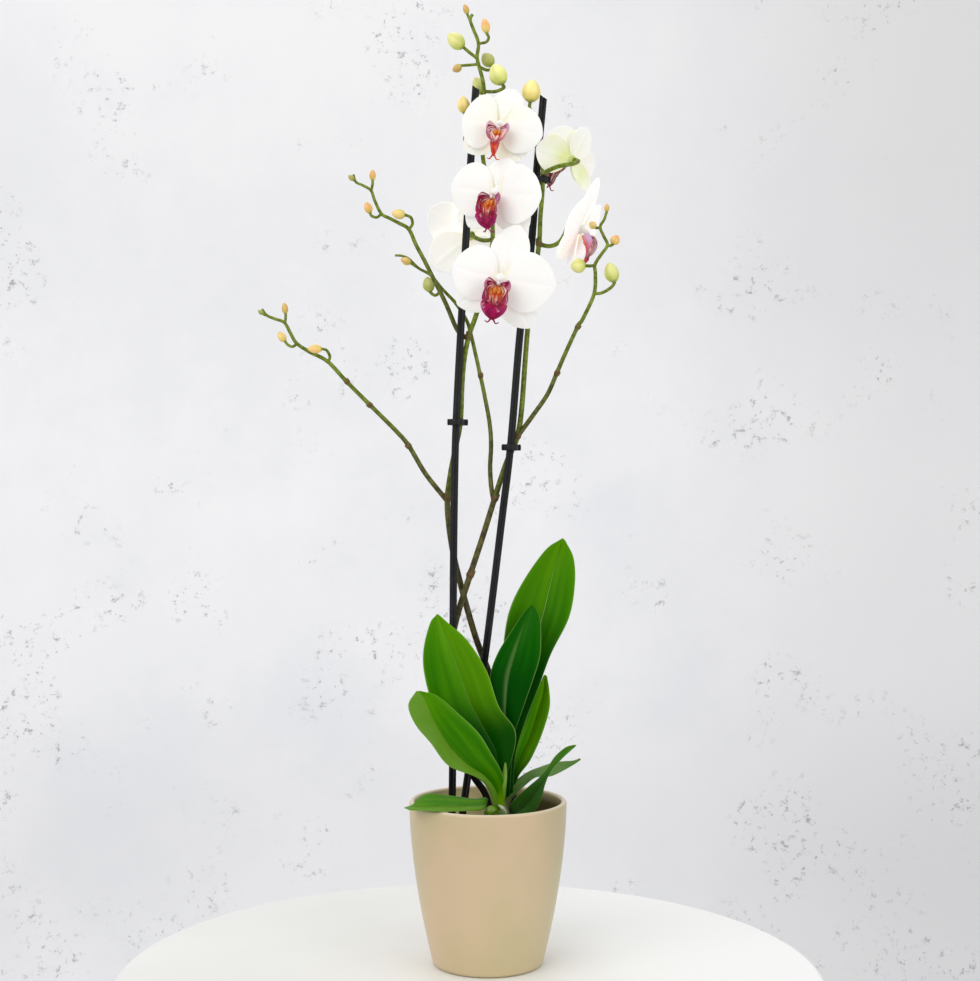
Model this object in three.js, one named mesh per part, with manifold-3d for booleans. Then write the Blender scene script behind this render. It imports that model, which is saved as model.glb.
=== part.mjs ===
// A potted moth orchid: two branching flower spikes on two black stakes, eight leaves, six white
// blooms with a red lip and many buds, rooted in bark in a grow pot inside a glazed stoneware pot.
// Millimetres, Z up. The origin is the middle of the pot's underside, and -Y is the front.
import * as THREE from "three";
import { mergeVertices } from "three/addons/utils/BufferGeometryUtils.js";
import Module from "manifold-3d";

const wasm = await Module();
wasm.setup();

// Driving dimensions, in millimetres and degrees.
const GAP = 0.35;

const POT = {
  height: 135.5,
  rimRadius: 65.5,
  baseRadius: 45.5,
  wall: 4.6,
  floor: 8,
  flare: 1.75,
  footRound: 4,
  turns: 36,
};
const GROW_POT = { foot: POT.floor + GAP, height: 96, footRadius: 37, rimRadius: 53, wall: 1.2, lip: 2.4 };
const BARK = { top: 101, crest: 3, chips: 9, chipSize: 24, seed: 11 };
const CROWN = { x: 11, y: -2, bottom: 88, top: 140, radius: 9 };
const STAKE = { width: 6.2, depth: 4.6, groove: 1.1, steps: 9 };
const JOINT = { below: 2.4, above: 3.2, raise: 1 };
const CLIP = { height: 5.2, wall: 1.3, wing: 1.8, clearance: 0.5 };
const BLOOM = { petalThickness: 0.8, petalRoot: 2.8, petalEnd: 0.97, lipThickness: 0.8, hubRadius: 4.6, hubBack: 5.2, footstalk: 1.8 };
const LEAF_EDGE = 1.1;
const LEAF_MIDDLE = 2.2;
const LEAF_SWELL = 0.2;

const COLOURS = {
  pot: 0xc8b592,
  growPot: 0x39332c,
  bark: 0x5a3d28,
  crown: 0x6f9a2a,
  leaf: 0x2f7a14,
  spike: 0x6d8434,
  petal: 0xf6f4ec,
  lip: 0xa8153f,
  plastic: 0x17171a,
};

// Each leaf is spanned by its two edges and its midrib, all from root to tip and all seen from the
// front. The edges stand nearer to the viewer than the midrib, which folds the leaf.
const LEAVES = [
  {
    name: "leaf_centre_right",
    left: [
      [11, -5, 140], [9, -6, 165], [7, -8, 193], [3, -10, 218], [2, -12, 241], [8, -13, 259],
      [18, -12, 275], [28, -9, 290], [35, -6.5, 297],
    ],
    rib: [
      [15, -3, 137], [15, -3, 165], [15, -4, 190], [15, -6, 215], [17, -7, 238], [22, -8, 257],
      [27, -8, 272], [33, -7, 288], [36, -6, 298],
    ],
    right: [
      [18, -4, 140], [20, -5, 169], [22, -6, 190], [29, -8, 212], [37, -10, 235], [43, -11, 255],
      [44, -11, 272], [43, -9, 288], [38, -6.5, 297],
    ],
  },
  {
    name: "leaf_tall_right",
    left: [
      [14, 1, 142], [14, 2, 168], [13, 3, 201], [13, 4, 235], [13, 5, 264], [18, 6, 293], [30, 7, 318],
      [48, 9, 343], [61, 11.5, 352],
    ],
    rib: [
      [18, 2, 139], [19, 4, 166], [23, 7, 199], [31, 10, 230], [39, 13, 260], [47, 15, 291],
      [54, 15, 320], [60, 14, 342], [63, 12, 353],
    ],
    right: [
      [21, 1, 142], [23, 2, 172], [31, 4, 199], [42, 5, 227], [53, 8, 256], [68, 9, 286], [73, 9, 314],
      [72, 10, 336], [65, 11.5, 351],
    ],
  },
  {
    name: "leaf_tall_left",
    left: [
      [7, -9, 137], [3, -11, 150], [-8, -14, 166], [-27, -17, 186], [-44, -20, 214], [-52, -21, 241],
      [-53, -20, 262], [-48, -16, 283], [-43, -12, 290],
    ],
    rib: [
      [11, -7, 134], [11, -9, 153], [7, -11, 177], [-3, -13, 196], [-14, -15, 217], [-24, -16, 244],
      [-32, -15, 267], [-38, -13, 283], [-42, -11, 291],
    ],
    right: [
      [15, -8, 137], [16, -11, 158], [22, -14, 180], [22, -17, 197], [9, -20, 216], [-1, -21, 245],
      [-17, -19, 270], [-34, -15, 285], [-40, -12, 290],
    ],
  },
  {
    name: "leaf_low_left",
    left: [
      [5, -14, 131], [0, -21, 148], [-10, -32, 160], [-32, -42, 171], [-46, -47, 190], [-58, -49, 205],
      [-64, -46, 220], [-58, -41, 231],
    ],
    rib: [
      [8, -12, 129], [6, -16, 146], [-3, -23, 159], [-18, -30, 171], [-33, -35, 188], [-44, -38, 207],
      [-51, -39, 224], [-56, -40, 231],
    ],
    right: [
      [13, -14.5, 131], [14, -16, 149], [11, -21, 163], [3, -27, 178], [-8, -31, 196], [-25, -35, 213],
      [-41, -38, 227], [-54, -41, 231],
    ],
  },
  {
    name: "leaf_low_right",
    left: [
      [15, 5, 138], [16, 7, 155], [19, 10, 172], [25, 13, 191], [32, 16, 208], [41, 19, 223],
      [47, 21, 236],
    ],
    rib: [
      [18, 6, 136], [21, 10, 152], [27, 15, 168], [36, 19, 187], [42, 22, 205], [47, 23, 223],
      [48, 22, 237],
    ],
    right: [
      [21, 5, 141], [26, 7, 154], [36, 11, 167], [46, 14, 189], [52, 17, 209], [52, 19, 223],
      [50, 21, 236],
    ],
  },
  {
    name: "leaf_back_right",
    left: [
      [15, 4, 144], [21, 9, 148], [34, 14, 156], [45, 18, 160], [55, 20, 163], [63, 18, 164],
      [72, 14, 165], [77, 11.5, 168],
    ],
    rib: [
      [17, 2, 137], [22, 4, 143], [33, 7, 150], [43, 10, 156], [54, 12, 159], [64, 12, 162],
      [72, 12, 165], [78, 11, 167],
    ],
    right: [
      [18, 0, 131], [21, 0, 138], [30, 1, 146], [40, 3, 153], [52, 5, 154], [62, 7, 158], [72, 9, 163],
      [78, 10.5, 167],
    ],
  },
  {
    name: "leaf_front_right",
    left: [
      [17, -7, 131], [23, -11, 139], [33, -16, 149], [42, -18, 157], [48, -18, 164], [55, -16, 174],
      [64, -13, 181], [72, -11, 183],
    ],
    rib: [
      [22, -6, 125], [31, -9, 132], [39, -13, 143], [44, -15, 151], [50, -15, 161], [59, -13.5, 172],
      [66, -11.5, 179], [73, -10, 182],
    ],
    right: [
      [26, -9, 117], [37, -13, 126], [44, -17, 139], [47, -18, 151], [52, -17, 162], [61, -15, 172],
      [68, -12.5, 178], [72, -10.5, 181],
    ],
  },
  {
    name: "leaf_over_rim",
    left: [
      [-2, -16, 132], [-6, -28, 132], [-16, -40, 134], [-26, -48, 135], [-37, -53, 136],
      [-48, -53, 137], [-58, -47, 136], [-64, -40, 135], [-67, -33, 135],
    ],
    rib: [
      [-1, -13, 135], [-6, -21, 134], [-15, -29, 135], [-26, -35, 136], [-36, -39, 137],
      [-46, -41, 137], [-55, -40, 137], [-62, -36.5, 136], [-68, -32.5, 135],
    ],
    right: [
      [0, -10, 138], [-3, -14, 140], [-11, -19, 140], [-21, -23, 142], [-34, -27, 144],
      [-46, -30, 146], [-54, -33, 145], [-61, -34, 138], [-67, -32, 135],
    ],
  },
];

// The stakes bend a little under the weight of the blooms.
const STAKES = {
  left: [[-31, 17, 26], [-30.5, 12, 100], [-29.5, 7, 180], [-29, 2.5, 300], [-28, 0, 390], [-26.5, 0, 450],
    [-23, 0, 520], [-18.5, 0, 600], [-14.2, 0, 670], [-10, 0, 730]],
  right: [[-30, 1, 58], [-17.5, 4, 150], [-3, 5, 250], [11.5, 3, 368], [19, 0.5, 432], [27, 0, 527], [36, 1, 596],
    [41, 2.5, 664], [46.5, 3, 723]],
};

// A stem is a tapered tube through its points, and joints names the points with a raised ring. A bud hangs at the end of a footstalk, which is the
// list of points before the bud's own two ends, and radius is the bud's.
const SPIKES = {
  spike_left: {
    stems: [
      {
        ends: [3.1, 1.3],
        joints: [5, 11, 17],
        path: [[15, 3, 116], [20, 12, 124], [21, 20, 145], [20, 21, 170], [14, 19, 198], [7, 17, 222], [-0.5, 16, 243],
          [-10, 16, 268], [-21, 16, 306], [-29, 13, 339], [-33, 10.5, 366], [-34, 10, 386], [-31.5, 9, 406],
          [-27, 7.5, 430], [-23.2, 6.2, 450], [-21.8, 5.2, 480], [-20, 5.1, 502], [-16.3, 4, 521], [-10, 2, 539],
          [-3.5, 2, 560], [1.5, 2, 583], [4, 2, 606], [2, 2, 632], [-3, 2, 662], [-5.5, 2, 690], [-3.4, 1, 720],
          [-4, 0, 733], [-7, 0, 745], [-9, 0, 754], [-8, 0, 766], [-12.5, -1, 778], [-14.8, -1, 785], [-13, -1, 789.5]],
      },
      {
        ends: [2.2, 1.1],
        joints: [3, 5, 6],
        path: [[-33, 10, 383], [-39, 9, 390], [-53, 7, 408], [-66, 4, 430], [-76, 2, 442], [-98, -1, 464],
          [-117, -3, 483], [-133, -5, 500], [-148, -6, 508], [-158.5, -7, 515], [-163.5, -7, 523], [-168.5, -8, 532],
          [-176, -8, 535], [-183, -9, 538], [-187, -9, 543]],
      },
      {
        ends: [2.1, 1.0],
        joints: [],
        path: [[-17, 4.2, 520], [-22, 6.8, 523.5], [-27, 7, 530], [-35.5, 6, 550], [-44.5, 5, 568], [-53, 4, 585],
          [-60, 3, 598], [-66, 2, 611], [-74, 2, 616], [-82, 1, 620], [-89, 1, 624], [-94.5, 0, 635], [-97.5, 0, 643],
          [-104, -1, 647], [-110, -1, 650], [-112, -1, 656]],
      },
    ],
    buds: [
      { path: [[-14.8, -1, 784], [-16.5, -1, 788]], ends: [[-17, -1, 789.5], [-19.6, -1, 798]], radius: 2.6 },
      { path: [[-7.5, 0, 765], [-1.5, -1, 766.5], [0.6, -2, 770]], ends: [[-0.8, -2, 773], [-3.2, -2, 786]], radius: 3.7 },
      { path: [[-9, 0, 753], [-15, -1, 757.5]], ends: [[-20, -2, 761.5], [-33.5, -4, 772]], radius: 6.8 },
      { path: [[-9, 0, 748], [-16, -2, 747]], ends: [[-22, -3, 746.3], [-29.4, -4, 741.5]], radius: 3.5 },
      { path: [[-7, 0, 746], [-1, 6, 745], [4, 9, 747]], ends: [[3.6, 9, 749], [-4, 10, 760]], radius: 5.6 },
      { path: [[-3, 0, 726], [6, -4, 724.5], [13, -6, 727]], ends: [[12.4, -6, 729.5], [4.4, -6, 746.5]], radius: 7.8 },
      { path: [[-3.5, 1, 722], [-4, 8, 724]], ends: [[-4.5, 9, 725.5], [-11, 10, 740]], radius: 5.4 },
      { path: [[-5.5, 2, 694], [-9, 8, 697], [-16, 9, 703]], ends: [[-19.4, 8, 709], [-21.2, 7, 723.5]], radius: 5.4 },
      { path: [[-132.5, -5, 499.5], [-131, -7, 504], [-133.5, -9, 509]], ends: [[-137, -10, 510], [-149, -11, 510]], radius: 3.8 },
      { path: [[-158, -7, 514.5], [-162, -9, 512], [-166, -10, 514]], ends: [[-167.5, -10, 516], [-173.5, -10, 524]], radius: 3.4 },
      { path: [[-168.5, -8, 531.5], [-167.5, -8.5, 536]], ends: [[-167.5, -9, 539], [-168.8, -9, 548.5]], radius: 2.8 },
      { path: [[-183, -9, 538], [-185, -10, 538.5]], ends: [[-185.5, -10, 539], [-190, -10, 542]], radius: 2.1 },
      { path: [[-66, 2, 611], [-63, 0, 615], [-64, -2, 620]], ends: [[-68.5, -3, 622], [-80, -4, 623.5]], radius: 4.3 },
      { path: [[-89, 1, 623.5], [-92.5, -1, 620.5], [-96.5, -2, 621.3]], ends: [[-98, -2, 623.5], [-101.4, -2, 633]], radius: 3.5 },
      { path: [[-97.5, 0, 642.5], [-96.2, 0, 648]], ends: [[-96.1, 0, 651], [-96, 0, 660.5]], radius: 2.8 },
      { path: [[-109.5, -1, 650], [-111, -2, 651]], ends: [[-111.5, -2, 651.3], [-116, -3, 655]], radius: 2.3 },
    ],
    footstalks: [
      { bloom: "bloom_top", path: [[-5.4, 2, 676], [0, 0.6, 677.5], [6, -1, 681], [9.5, -4, 687]] },
      { bloom: "bloom_middle", path: [[3, 2, 617], [6, 0, 618.5], [9.8, -4, 624], [10.8, -11, 632]] },
      { bloom: "bloom_low", path: [[-4, 2, 556], [0, -1, 554.5], [5, -6, 555.5], [9.4, -15, 561]] },
      { bloom: "bloom_back_left", path: [[4, 2, 603], [1, 6, 602.6], [-5, 12, 603.5], [-11.5, 17, 607]] },
    ],
  },
  spike_right: {
    stems: [
      {
        ends: [3.1, 1.6],
        joints: [8, 10, 12, 17],
        path: [[7, 3, 116], [2, 11, 125], [-3, 14.5, 139], [-13, 15, 153.5], [-24, 15, 178], [-33, 13, 210],
          [-34.5, 11, 242], [-27, 9, 283], [-15, 8, 322], [-4.5, 8, 354], [5.5, 8, 386], [15, 7.5, 415],
          [24.5, 6, 438], [28.2, 5.5, 462], [31, 4.5, 500], [33.4, 3, 530], [37, 1, 558], [42.5, -0.5, 598],
          [43.6, -2.5, 620], [45.5, -4.5, 645], [45.2, -5, 664], [42.5, -5, 680], [37, -4, 696], [34.7, -3, 711]],
      },
      {
        ends: [2.1, 1.0],
        joints: [6],
        path: [[5, 8, 383], [2.8, 9, 396], [1.8, 10, 412], [2.6, 10, 432], [1.3, 10, 450], [-2.5, 11, 471],
          [-6.3, 11, 489], [-14.5, 12, 525], [-19, 12.5, 538], [-27.5, 13.5, 551], [-35, 14, 559], [-39.5, 14, 564],
          [-48, 13, 574], [-58.5, 11, 580], [-66, 9, 587], [-72, 8, 589.7], [-78, 7, 590]],
      },
      {
        ends: [2.1, 1.1],
        joints: [4, 6],
        path: [[24.5, 6, 438], [29, 4, 444], [38.5, 1, 457], [49.5, -3, 473], [57, -5, 490], [62.5, -7, 503],
          [74, -10, 528], [78.5, -11, 535], [87.5, -13, 555], [88.6, -14, 571], [88.2, -14, 579], [93, -15, 587],
          [98.3, -16, 595], [95, -16, 603], [92.4, -16, 610], [95.7, -17, 616], [97.5, -17, 622]],
      },
    ],
    buds: [
      { path: [[37, -4, 696], [34.7, -3, 711]], ends: [[35, -3, 715.5], [37, -4, 734.5]], radius: 8 },
      { path: [[-39, 14, 562], [-44, 14.5, 557.5]], ends: [[-48.5, 14.5, 560], [-51.5, 13.5, 573]], radius: 5.2 },
      { path: [[-58.5, 11, 580], [-62, 9, 582]], ends: [[-64.5, 8, 583.5], [-73, 6, 587]], radius: 3.3 },
      { path: [[87.5, -13, 555], [94, -14, 556], [101, -14, 560]], ends: [[104.4, -14, 564.5], [99.6, -13, 581]], radius: 6.3 },
      { path: [[88.2, -14, 578.5], [84, -15, 578]], ends: [[80.5, -16, 578], [67.8, -18, 577.5]], radius: 6.2 },
      { path: [[98.3, -16, 595], [100.5, -16, 594.5]], ends: [[102.5, -16, 595.5], [107, -16, 603]], radius: 4.1 },
      { path: [[92.4, -16, 609.6], [90.5, -17, 609]], ends: [[88.8, -17, 609.2], [83.4, -18, 613.4]], radius: 3.2 },
      { path: [[97.5, -17, 620], [97.7, -17, 622]], ends: [[97.6, -17, 622], [98, -17, 629]], radius: 2.2 },
    ],
    footstalks: [
      { bloom: "bloom_right", path: [[43.3, -1, 598], [51, -1, 596.5], [58, 0, 599], [63, 1, 605]] },
      { bloom: "bloom_right_high", path: [[45.3, -5, 656], [49, -19, 655.5], [58, -23, 658.5], [70, -19, 661.5]] },
    ],
  },
};

// Each bloom is placed by the foot of its column. It faces the viewer at turn 0 and right at 90.
// nod tips its face down and lean turns it about its own axis. Its petals are an angle clockwise from
// the top, a length and a width: the upper sepal, the two lower ones, then the two broad petals.
// cup bends them all forward, as in a bloom that has just opened.
const BLOOMS = [
  {
    name: "bloom_top", at: [9.9, -22, 692], turn: -5, nod: -6, lean: -8, cup: 0,
    lipScale: 0.9, lipMiddle: 1.5, petals: [[11, 34, 24], [141, 34, 27], [-131, 35, 24], [97, 36, 37], [-86, 32, 43]],
  },
  {
    name: "bloom_middle", at: [6.8, -28, 636], turn: -25, nod: 4, lean: -5, cup: 0,
    lipScale: 0.92, lipMiddle: 8, petals: [[18, 29, 27], [139, 41, 28], [-136, 38, 24], [94, 40, 45], [-84, 42, 41]],
  },
  {
    name: "bloom_low", at: [9.8, -34, 565], turn: -4, nod: 5, lean: -10, cup: 0,
    lipScale: 1.02, lipMiddle: 8, petals: [[10, 46, 29], [138, 47, 28], [-130, 41, 30], [89, 46, 46], [-85, 40, 42]],
  },
  {
    name: "bloom_right_high", at: [68.5, 2, 669], turn: -140, nod: -15, lean: 18, cup: 0.18,
    lipScale: 0.78, lipMiddle: 5, petals: [[-12, 34, 22], [101, 40, 28], [-108, 41, 11], [69, 33, 34], [-79, 36, 27]],
  },
  {
    name: "bloom_right", at: [76.4, 0, 611], turn: 70, nod: 24, lean: 0, cup: 0.06,
    lipScale: 0.9, lipMiddle: 3, petals: [[0, 46, 29], [140, 38, 28], [-140, 37, 28], [84, 41, 44], [-84, 41, 44]],
  },
  {
    name: "bloom_back_left", at: [-15.3, 30, 610], turn: 192, nod: 2, lean: 0, cup: 0,
    lipScale: 0.8, lipMiddle: 5, petals: [[-8, 33, 26], [131, 44, 34], [-140, 36, 26], [60, 41, 35], [-92, 38, 38]],
  },
];

// The clips hold a stem to a stake at these heights.
const CLIPS = [
  { name: "clip_left_low", stake: "left", spike: "spike_left", height: 450 },
  { name: "clip_left_high", stake: "left", spike: "spike_left", height: 686 },
  { name: "clip_right_low", stake: "right", spike: "spike_right", height: 429 },
  { name: "clip_right_high", stake: "right", spike: "spike_right", height: 651 },
];

const ROOTS = [
  [[12, -6, 112], [17, -16, 112], [22, -25, 108], [25, -31, 99]],
  [[6, -6, 110], [-6, -12, 111], [-16, -19, 107], [-22, -24, 98]],
  [[16, 4, 108], [28, 12, 108], [36, 20, 105], [40, 26, 97]],
  [[8, 4, 104], [-2, 16, 106.5], [-8, 26, 105], [-12, 32, 97]],
];

const vector = (p) => new THREE.Vector3(...p);
const radians = (degrees) => (degrees * Math.PI) / 180;
const smooth = (x) => {
  const c = Math.min(1, Math.max(0, x));
  return c * c * (3 - 2 * c);
};
const path = (points) => new THREE.CatmullRomCurve3(points.map(vector), false, "catmullrom", 0.5);

// A seeded draw from 0 to 1, the same on every run.
function draw(seed) {
  let state = seed;
  return () => {
    state = (state * 1103515245 + 12345) % 2147483648;
    return state / 2147483648;
  };
}

// A closed mesh as a solid, with its shared corners merged.
function solidOf(geometry) {
  const bare = new THREE.BufferGeometry();
  bare.setAttribute("position", geometry.getAttribute("position"));
  if (geometry.index) bare.setIndex(geometry.index);
  const merged = mergeVertices(bare, 1e-4);
  return new wasm.Manifold(
    new wasm.Mesh({
      numProp: 3,
      vertProperties: merged.attributes.position.array,
      triVerts: new Uint32Array(merged.index.array),
    }),
  );
}

function geometryOf(solid) {
  const mesh = solid.getMesh();
  const geometry = new THREE.BufferGeometry();
  geometry.setAttribute("position", new THREE.BufferAttribute(mesh.vertProperties, 3));
  geometry.setIndex(new THREE.BufferAttribute(mesh.triVerts, 1));
  geometry.computeVertexNormals();
  return geometry;
}

function meshFromLists(positions, triangles) {
  const geometry = new THREE.BufferGeometry();
  geometry.setAttribute("position", new THREE.Float32BufferAttribute(positions.flatMap((p) => p.toArray()), 3));
  geometry.setIndex(triangles);
  return geometry;
}

// The largest body of a solid: a trim can leave a loose scrap behind.
function largest(solid) {
  return solid.decompose().reduce((a, b) => (a.volume() > b.volume() ? a : b));
}

const fuse = (solids) => solids.reduce((a, b) => a.add(b));

// A thin closed blade. surface(t, u) gives the middle of its thickness, with t from 0 at the root to
// 1 at the tip and u from -1 to 1 across. Both faces are split into triangles alike.
function blade(surface, thickness, rows, columns) {
  const along = (i) => (1 - Math.cos((Math.PI * i) / rows)) / 2;
  const across = (j) => (2 * j) / columns - 1;
  const step = 1e-3;
  const upper = [];
  const lower = [];
  for (let i = 0; i <= rows; i++)
    for (let j = 0; j <= columns; j++) {
      const [t, u] = [along(i), across(j)];
      const du = surface(t, Math.min(1, u + step)).sub(surface(t, Math.max(-1, u - step)));
      const dt = surface(Math.min(1, t + step), u).sub(surface(Math.max(0, t - step), u));
      const half = du.cross(dt).normalize().multiplyScalar(thickness(t, u) / 2);
      upper.push(surface(t, u).add(half));
      lower.push(surface(t, u).sub(half));
    }
  const n = upper.length;
  const at = (i, j) => i * (columns + 1) + j;
  const triangles = [];
  for (let i = 0; i < rows; i++)
    for (let j = 0; j < columns; j++) {
      const [a, b, c, d] = [at(i, j), at(i, j + 1), at(i + 1, j + 1), at(i + 1, j)];
      triangles.push(a, b, c, a, c, d, n + a, n + c, n + b, n + a, n + d, n + c);
    }
  const wall = (p, q) => triangles.push(q, p, n + p, q, n + p, n + q);
  for (let j = 0; j < columns; j++) {
    wall(at(0, j), at(0, j + 1));
    wall(at(rows, j + 1), at(rows, j));
  }
  for (let i = 0; i < rows; i++) {
    wall(at(i, columns), at(i + 1, columns));
    wall(at(i + 1, 0), at(i, 0));
  }
  return solidOf(meshFromLists([...upper, ...lower], triangles));
}

// A closed tube through rings of points, with a flat cap on each end.
function loft(rings) {
  const sides = rings[0].length;
  const points = rings.flat();
  const triangles = [];
  for (let i = 0; i + 1 < rings.length; i++)
    for (let j = 0; j < sides; j++) {
      const k = (j + 1) % sides;
      const [a, b, c, d] = [i * sides + j, i * sides + k, (i + 1) * sides + k, (i + 1) * sides + j];
      triangles.push(a, b, c, a, c, d);
    }
  const centre = (ring) => ring.reduce((sum, p) => sum.add(p), new THREE.Vector3()).divideScalar(sides);
  const [first, last] = [points.length, points.length + 1];
  points.push(centre(rings[0]), centre(rings.at(-1)));
  const end = (rings.length - 1) * sides;
  for (let j = 0; j < sides; j++) {
    const k = (j + 1) % sides;
    triangles.push(first, k, j, last, end + j, end + k);
  }
  return solidOf(meshFromLists(points, triangles));
}

// A round tube through points, with a radius at each: every ring stands square to its neighbours.
function sweep(points, radii, sides) {
  const last = points.length - 1;
  const normal = new THREE.Vector3(0.31, 0.87, 0.39);
  const rings = points.map((point, i) => {
    const tangent = points[Math.min(i + 1, last)].clone().sub(points[Math.max(i - 1, 0)]).normalize();
    normal.addScaledVector(tangent, -normal.dot(tangent)).normalize();
    const binormal = tangent.clone().cross(normal);
    return Array.from({ length: sides }, (_, j) => {
      const angle = (2 * Math.PI * j) / sides;
      return point.clone()
        .addScaledVector(normal, radii[i] * Math.cos(angle))
        .addScaledVector(binormal, radii[i] * Math.sin(angle));
    });
  });
  return loft(rings);
}

// A round tube along a curve, whose radius is a function of the share of the length.
function tube(curve, radius, sides, steps) {
  const shares = Array.from({ length: steps + 1 }, (_, i) => i / steps);
  return sweep(shares.map((t) => curve.getPointAt(t)), shares.map(radius), sides);
}

// An egg along the line between two points: the radius follows half an ellipse, fuller at the root.
function egg(from, to, radius, sides, rings) {
  const profile = (t) => radius * Math.max(0.12, Math.pow(Math.sin(Math.PI * Math.pow(t, 0.82)), 0.75));
  return tube(path([from, to]), profile, sides, rings);
}

// A bud on its footstalk: one tube, which swells into an egg over the line between the bud's ends.
function budSolid({ path: stalk, ends, radius }, root) {
  const [from, to] = ends.map(vector);
  const points = [root, ...stalk.slice(1).map(vector)];
  const radii = points.map(() => 1.1 + 0.06 * radius);
  for (const share of [0.06, 0.32, 0.66, 0.93]) {
    points.push(from.clone().lerp(to, share));
    radii.push(Math.max(0.9, radius * Math.pow(Math.sin(Math.PI * Math.pow(share, 0.82)), 0.75)));
  }
  return sweep(points, radii, radius > 4 ? 6 : 5);
}

// Stoneware pot: the wall flares as 1 - (1 - h)^flare of its height, with a rounded lip and foot.
function potRadius(z) {
  const share = Math.min(1, z / POT.height);
  return POT.baseRadius + (POT.rimRadius - POT.baseRadius) * (1 - Math.pow(1 - share, POT.flare));
}

function pot() {
  const profile = [[0, 0], [POT.baseRadius - POT.footRound, 0]];
  for (const share of [0.4, 1]) {
    const angle = (share * Math.PI) / 2;
    const out = potRadius(POT.footRound) - POT.baseRadius + POT.footRound;
    profile.push([
      POT.baseRadius - POT.footRound + out * Math.sin(angle),
      POT.footRound * (1 - Math.cos(angle)),
    ]);
  }
  const lip = POT.wall / 2;
  for (const z of [26, 55, 90, POT.height - lip]) profile.push([potRadius(z), z]);
  for (const share of [0.3, 0.7, 1]) {
    const angle = share * Math.PI;
    const middle = potRadius(POT.height - lip) - lip;
    profile.push([middle + lip * Math.cos(angle), POT.height - lip + lip * Math.sin(angle)]);
  }
  for (const z of [70, 30, POT.floor + 4]) profile.push([potRadius(z) - POT.wall, z]);
  profile.push([potRadius(POT.floor) - POT.wall - 4, POT.floor], [0, POT.floor]);
  return turned(profile, POT.turns);
}

// A profile of [radius, height] pairs turned about the Z axis.
function turned(profile, turns) {
  const outline = profile.map(([r, z]) => new THREE.Vector2(r, z));
  return solidOf(new THREE.LatheGeometry(outline, turns).rotateX(Math.PI / 2));
}

// Clear grow pot: a thin tapered cup with a rolled rim.
function growRadius(z, inset) {
  const share = (z - GROW_POT.foot) / GROW_POT.height;
  return GROW_POT.footRadius + (GROW_POT.rimRadius - GROW_POT.footRadius) * share - inset;
}

function growPot() {
  const { foot, height, wall, lip } = GROW_POT;
  const top = foot + height;
  return turned(
    [
      [0, foot], [growRadius(foot, 0), foot], [growRadius(top - 4, 0), top - 4], [growRadius(top, 0) + lip, top - 4],
      [growRadius(top, 0) + lip, top], [growRadius(top, wall), top], [growRadius(foot + wall, wall), foot + wall],
      [0, foot + wall],
    ],
    32,
  );
}

// Bark: a plug that fills the grow pot, with chips half sunk in its top, spread on a sunflower spiral.
function bark(holes) {
  const bottom = GROW_POT.foot + GROW_POT.wall + GAP;
  const side = (z) => growRadius(z, GROW_POT.wall + GAP + 0.2);
  let solid = turned(
    [[0, bottom], [side(bottom), bottom], [side(BARK.top - 2), BARK.top - 2], [0, BARK.top + BARK.crest]],
    32,
  );
  const next = draw(BARK.seed);
  const reach = side(BARK.top) - BARK.chipSize * 0.75;
  for (let k = 0; k < BARK.chips; k++) {
    const radius = reach * Math.sqrt((k + 0.5) / BARK.chips);
    const angle = k * Math.PI * (3 - Math.sqrt(5));
    const size = BARK.chipSize * (0.75 + 0.5 * next());
    const chip = new THREE.BoxGeometry(size, size * (0.5 + 0.25 * next()), size * (0.26 + 0.14 * next()));
    chip.rotateX((next() - 0.5) * 0.7).rotateY((next() - 0.5) * 0.7).rotateZ(next() * Math.PI * 2);
    const lift = BARK.top + BARK.crest * (1 - radius / reach) + next() * 1.4;
    chip.translate(radius * Math.cos(angle), radius * Math.sin(angle), lift);
    solid = solid.add(solidOf(chip));
  }
  return largest(holes.reduce((left, hole) => left.subtract(hole), solid));
}

// Crown: the short stem that carries the leaves, with thick roots that arch into the bark.
function crown(extra) {
  const profile = (t) => CROWN.radius * (0.62 + 0.38 * Math.sin(Math.PI * Math.min(1, t * 1.25))) + extra;
  const axis = path([
    [CROWN.x, CROWN.y, CROWN.bottom],
    [CROWN.x, CROWN.y, (CROWN.bottom + CROWN.top) / 2],
    [CROWN.x, CROWN.y, CROWN.top],
  ]);
  const taper = (t) => profile(t) * (t > 0.75 ? 1 - (t - 0.75) * 2.4 : 1);
  const roots = ROOTS.map((points) => tube(path(points), (t) => 2.4 - 0.5 * t + extra, 5, 5));
  return fuse([tube(axis, taper, 10, 6), ...roots]);
}

// Leaf: each half runs straight from the midrib to its edge and swells a little between them. With
// extra it gives the room that the leaf takes up.
function leaf(spec, extra) {
  const [left, rib, right] = [spec.left, spec.rib, spec.right].map(path);
  const surface = (t, u) => {
    const middle = rib.getPoint(t);
    const half = (u < 0 ? left : right).getPoint(t).sub(middle);
    const across = right.getPoint(t).sub(left.getPoint(t));
    const normal = across.clone().cross(rib.getTangent(t)).normalize();
    const w = Math.abs(u);
    const swell = LEAF_SWELL * half.length() * w * (1 - w);
    middle.addScaledVector(half, w).addScaledVector(normal, swell);
    return middle.addScaledVector(across.normalize(), extra * u);
  };
  const thickness = (t, u) => LEAF_EDGE + (LEAF_MIDDLE - LEAF_EDGE) * (1 - u * u) * (1.25 - t) + extra;
  return blade(surface, thickness, 11, 4);
}

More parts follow.
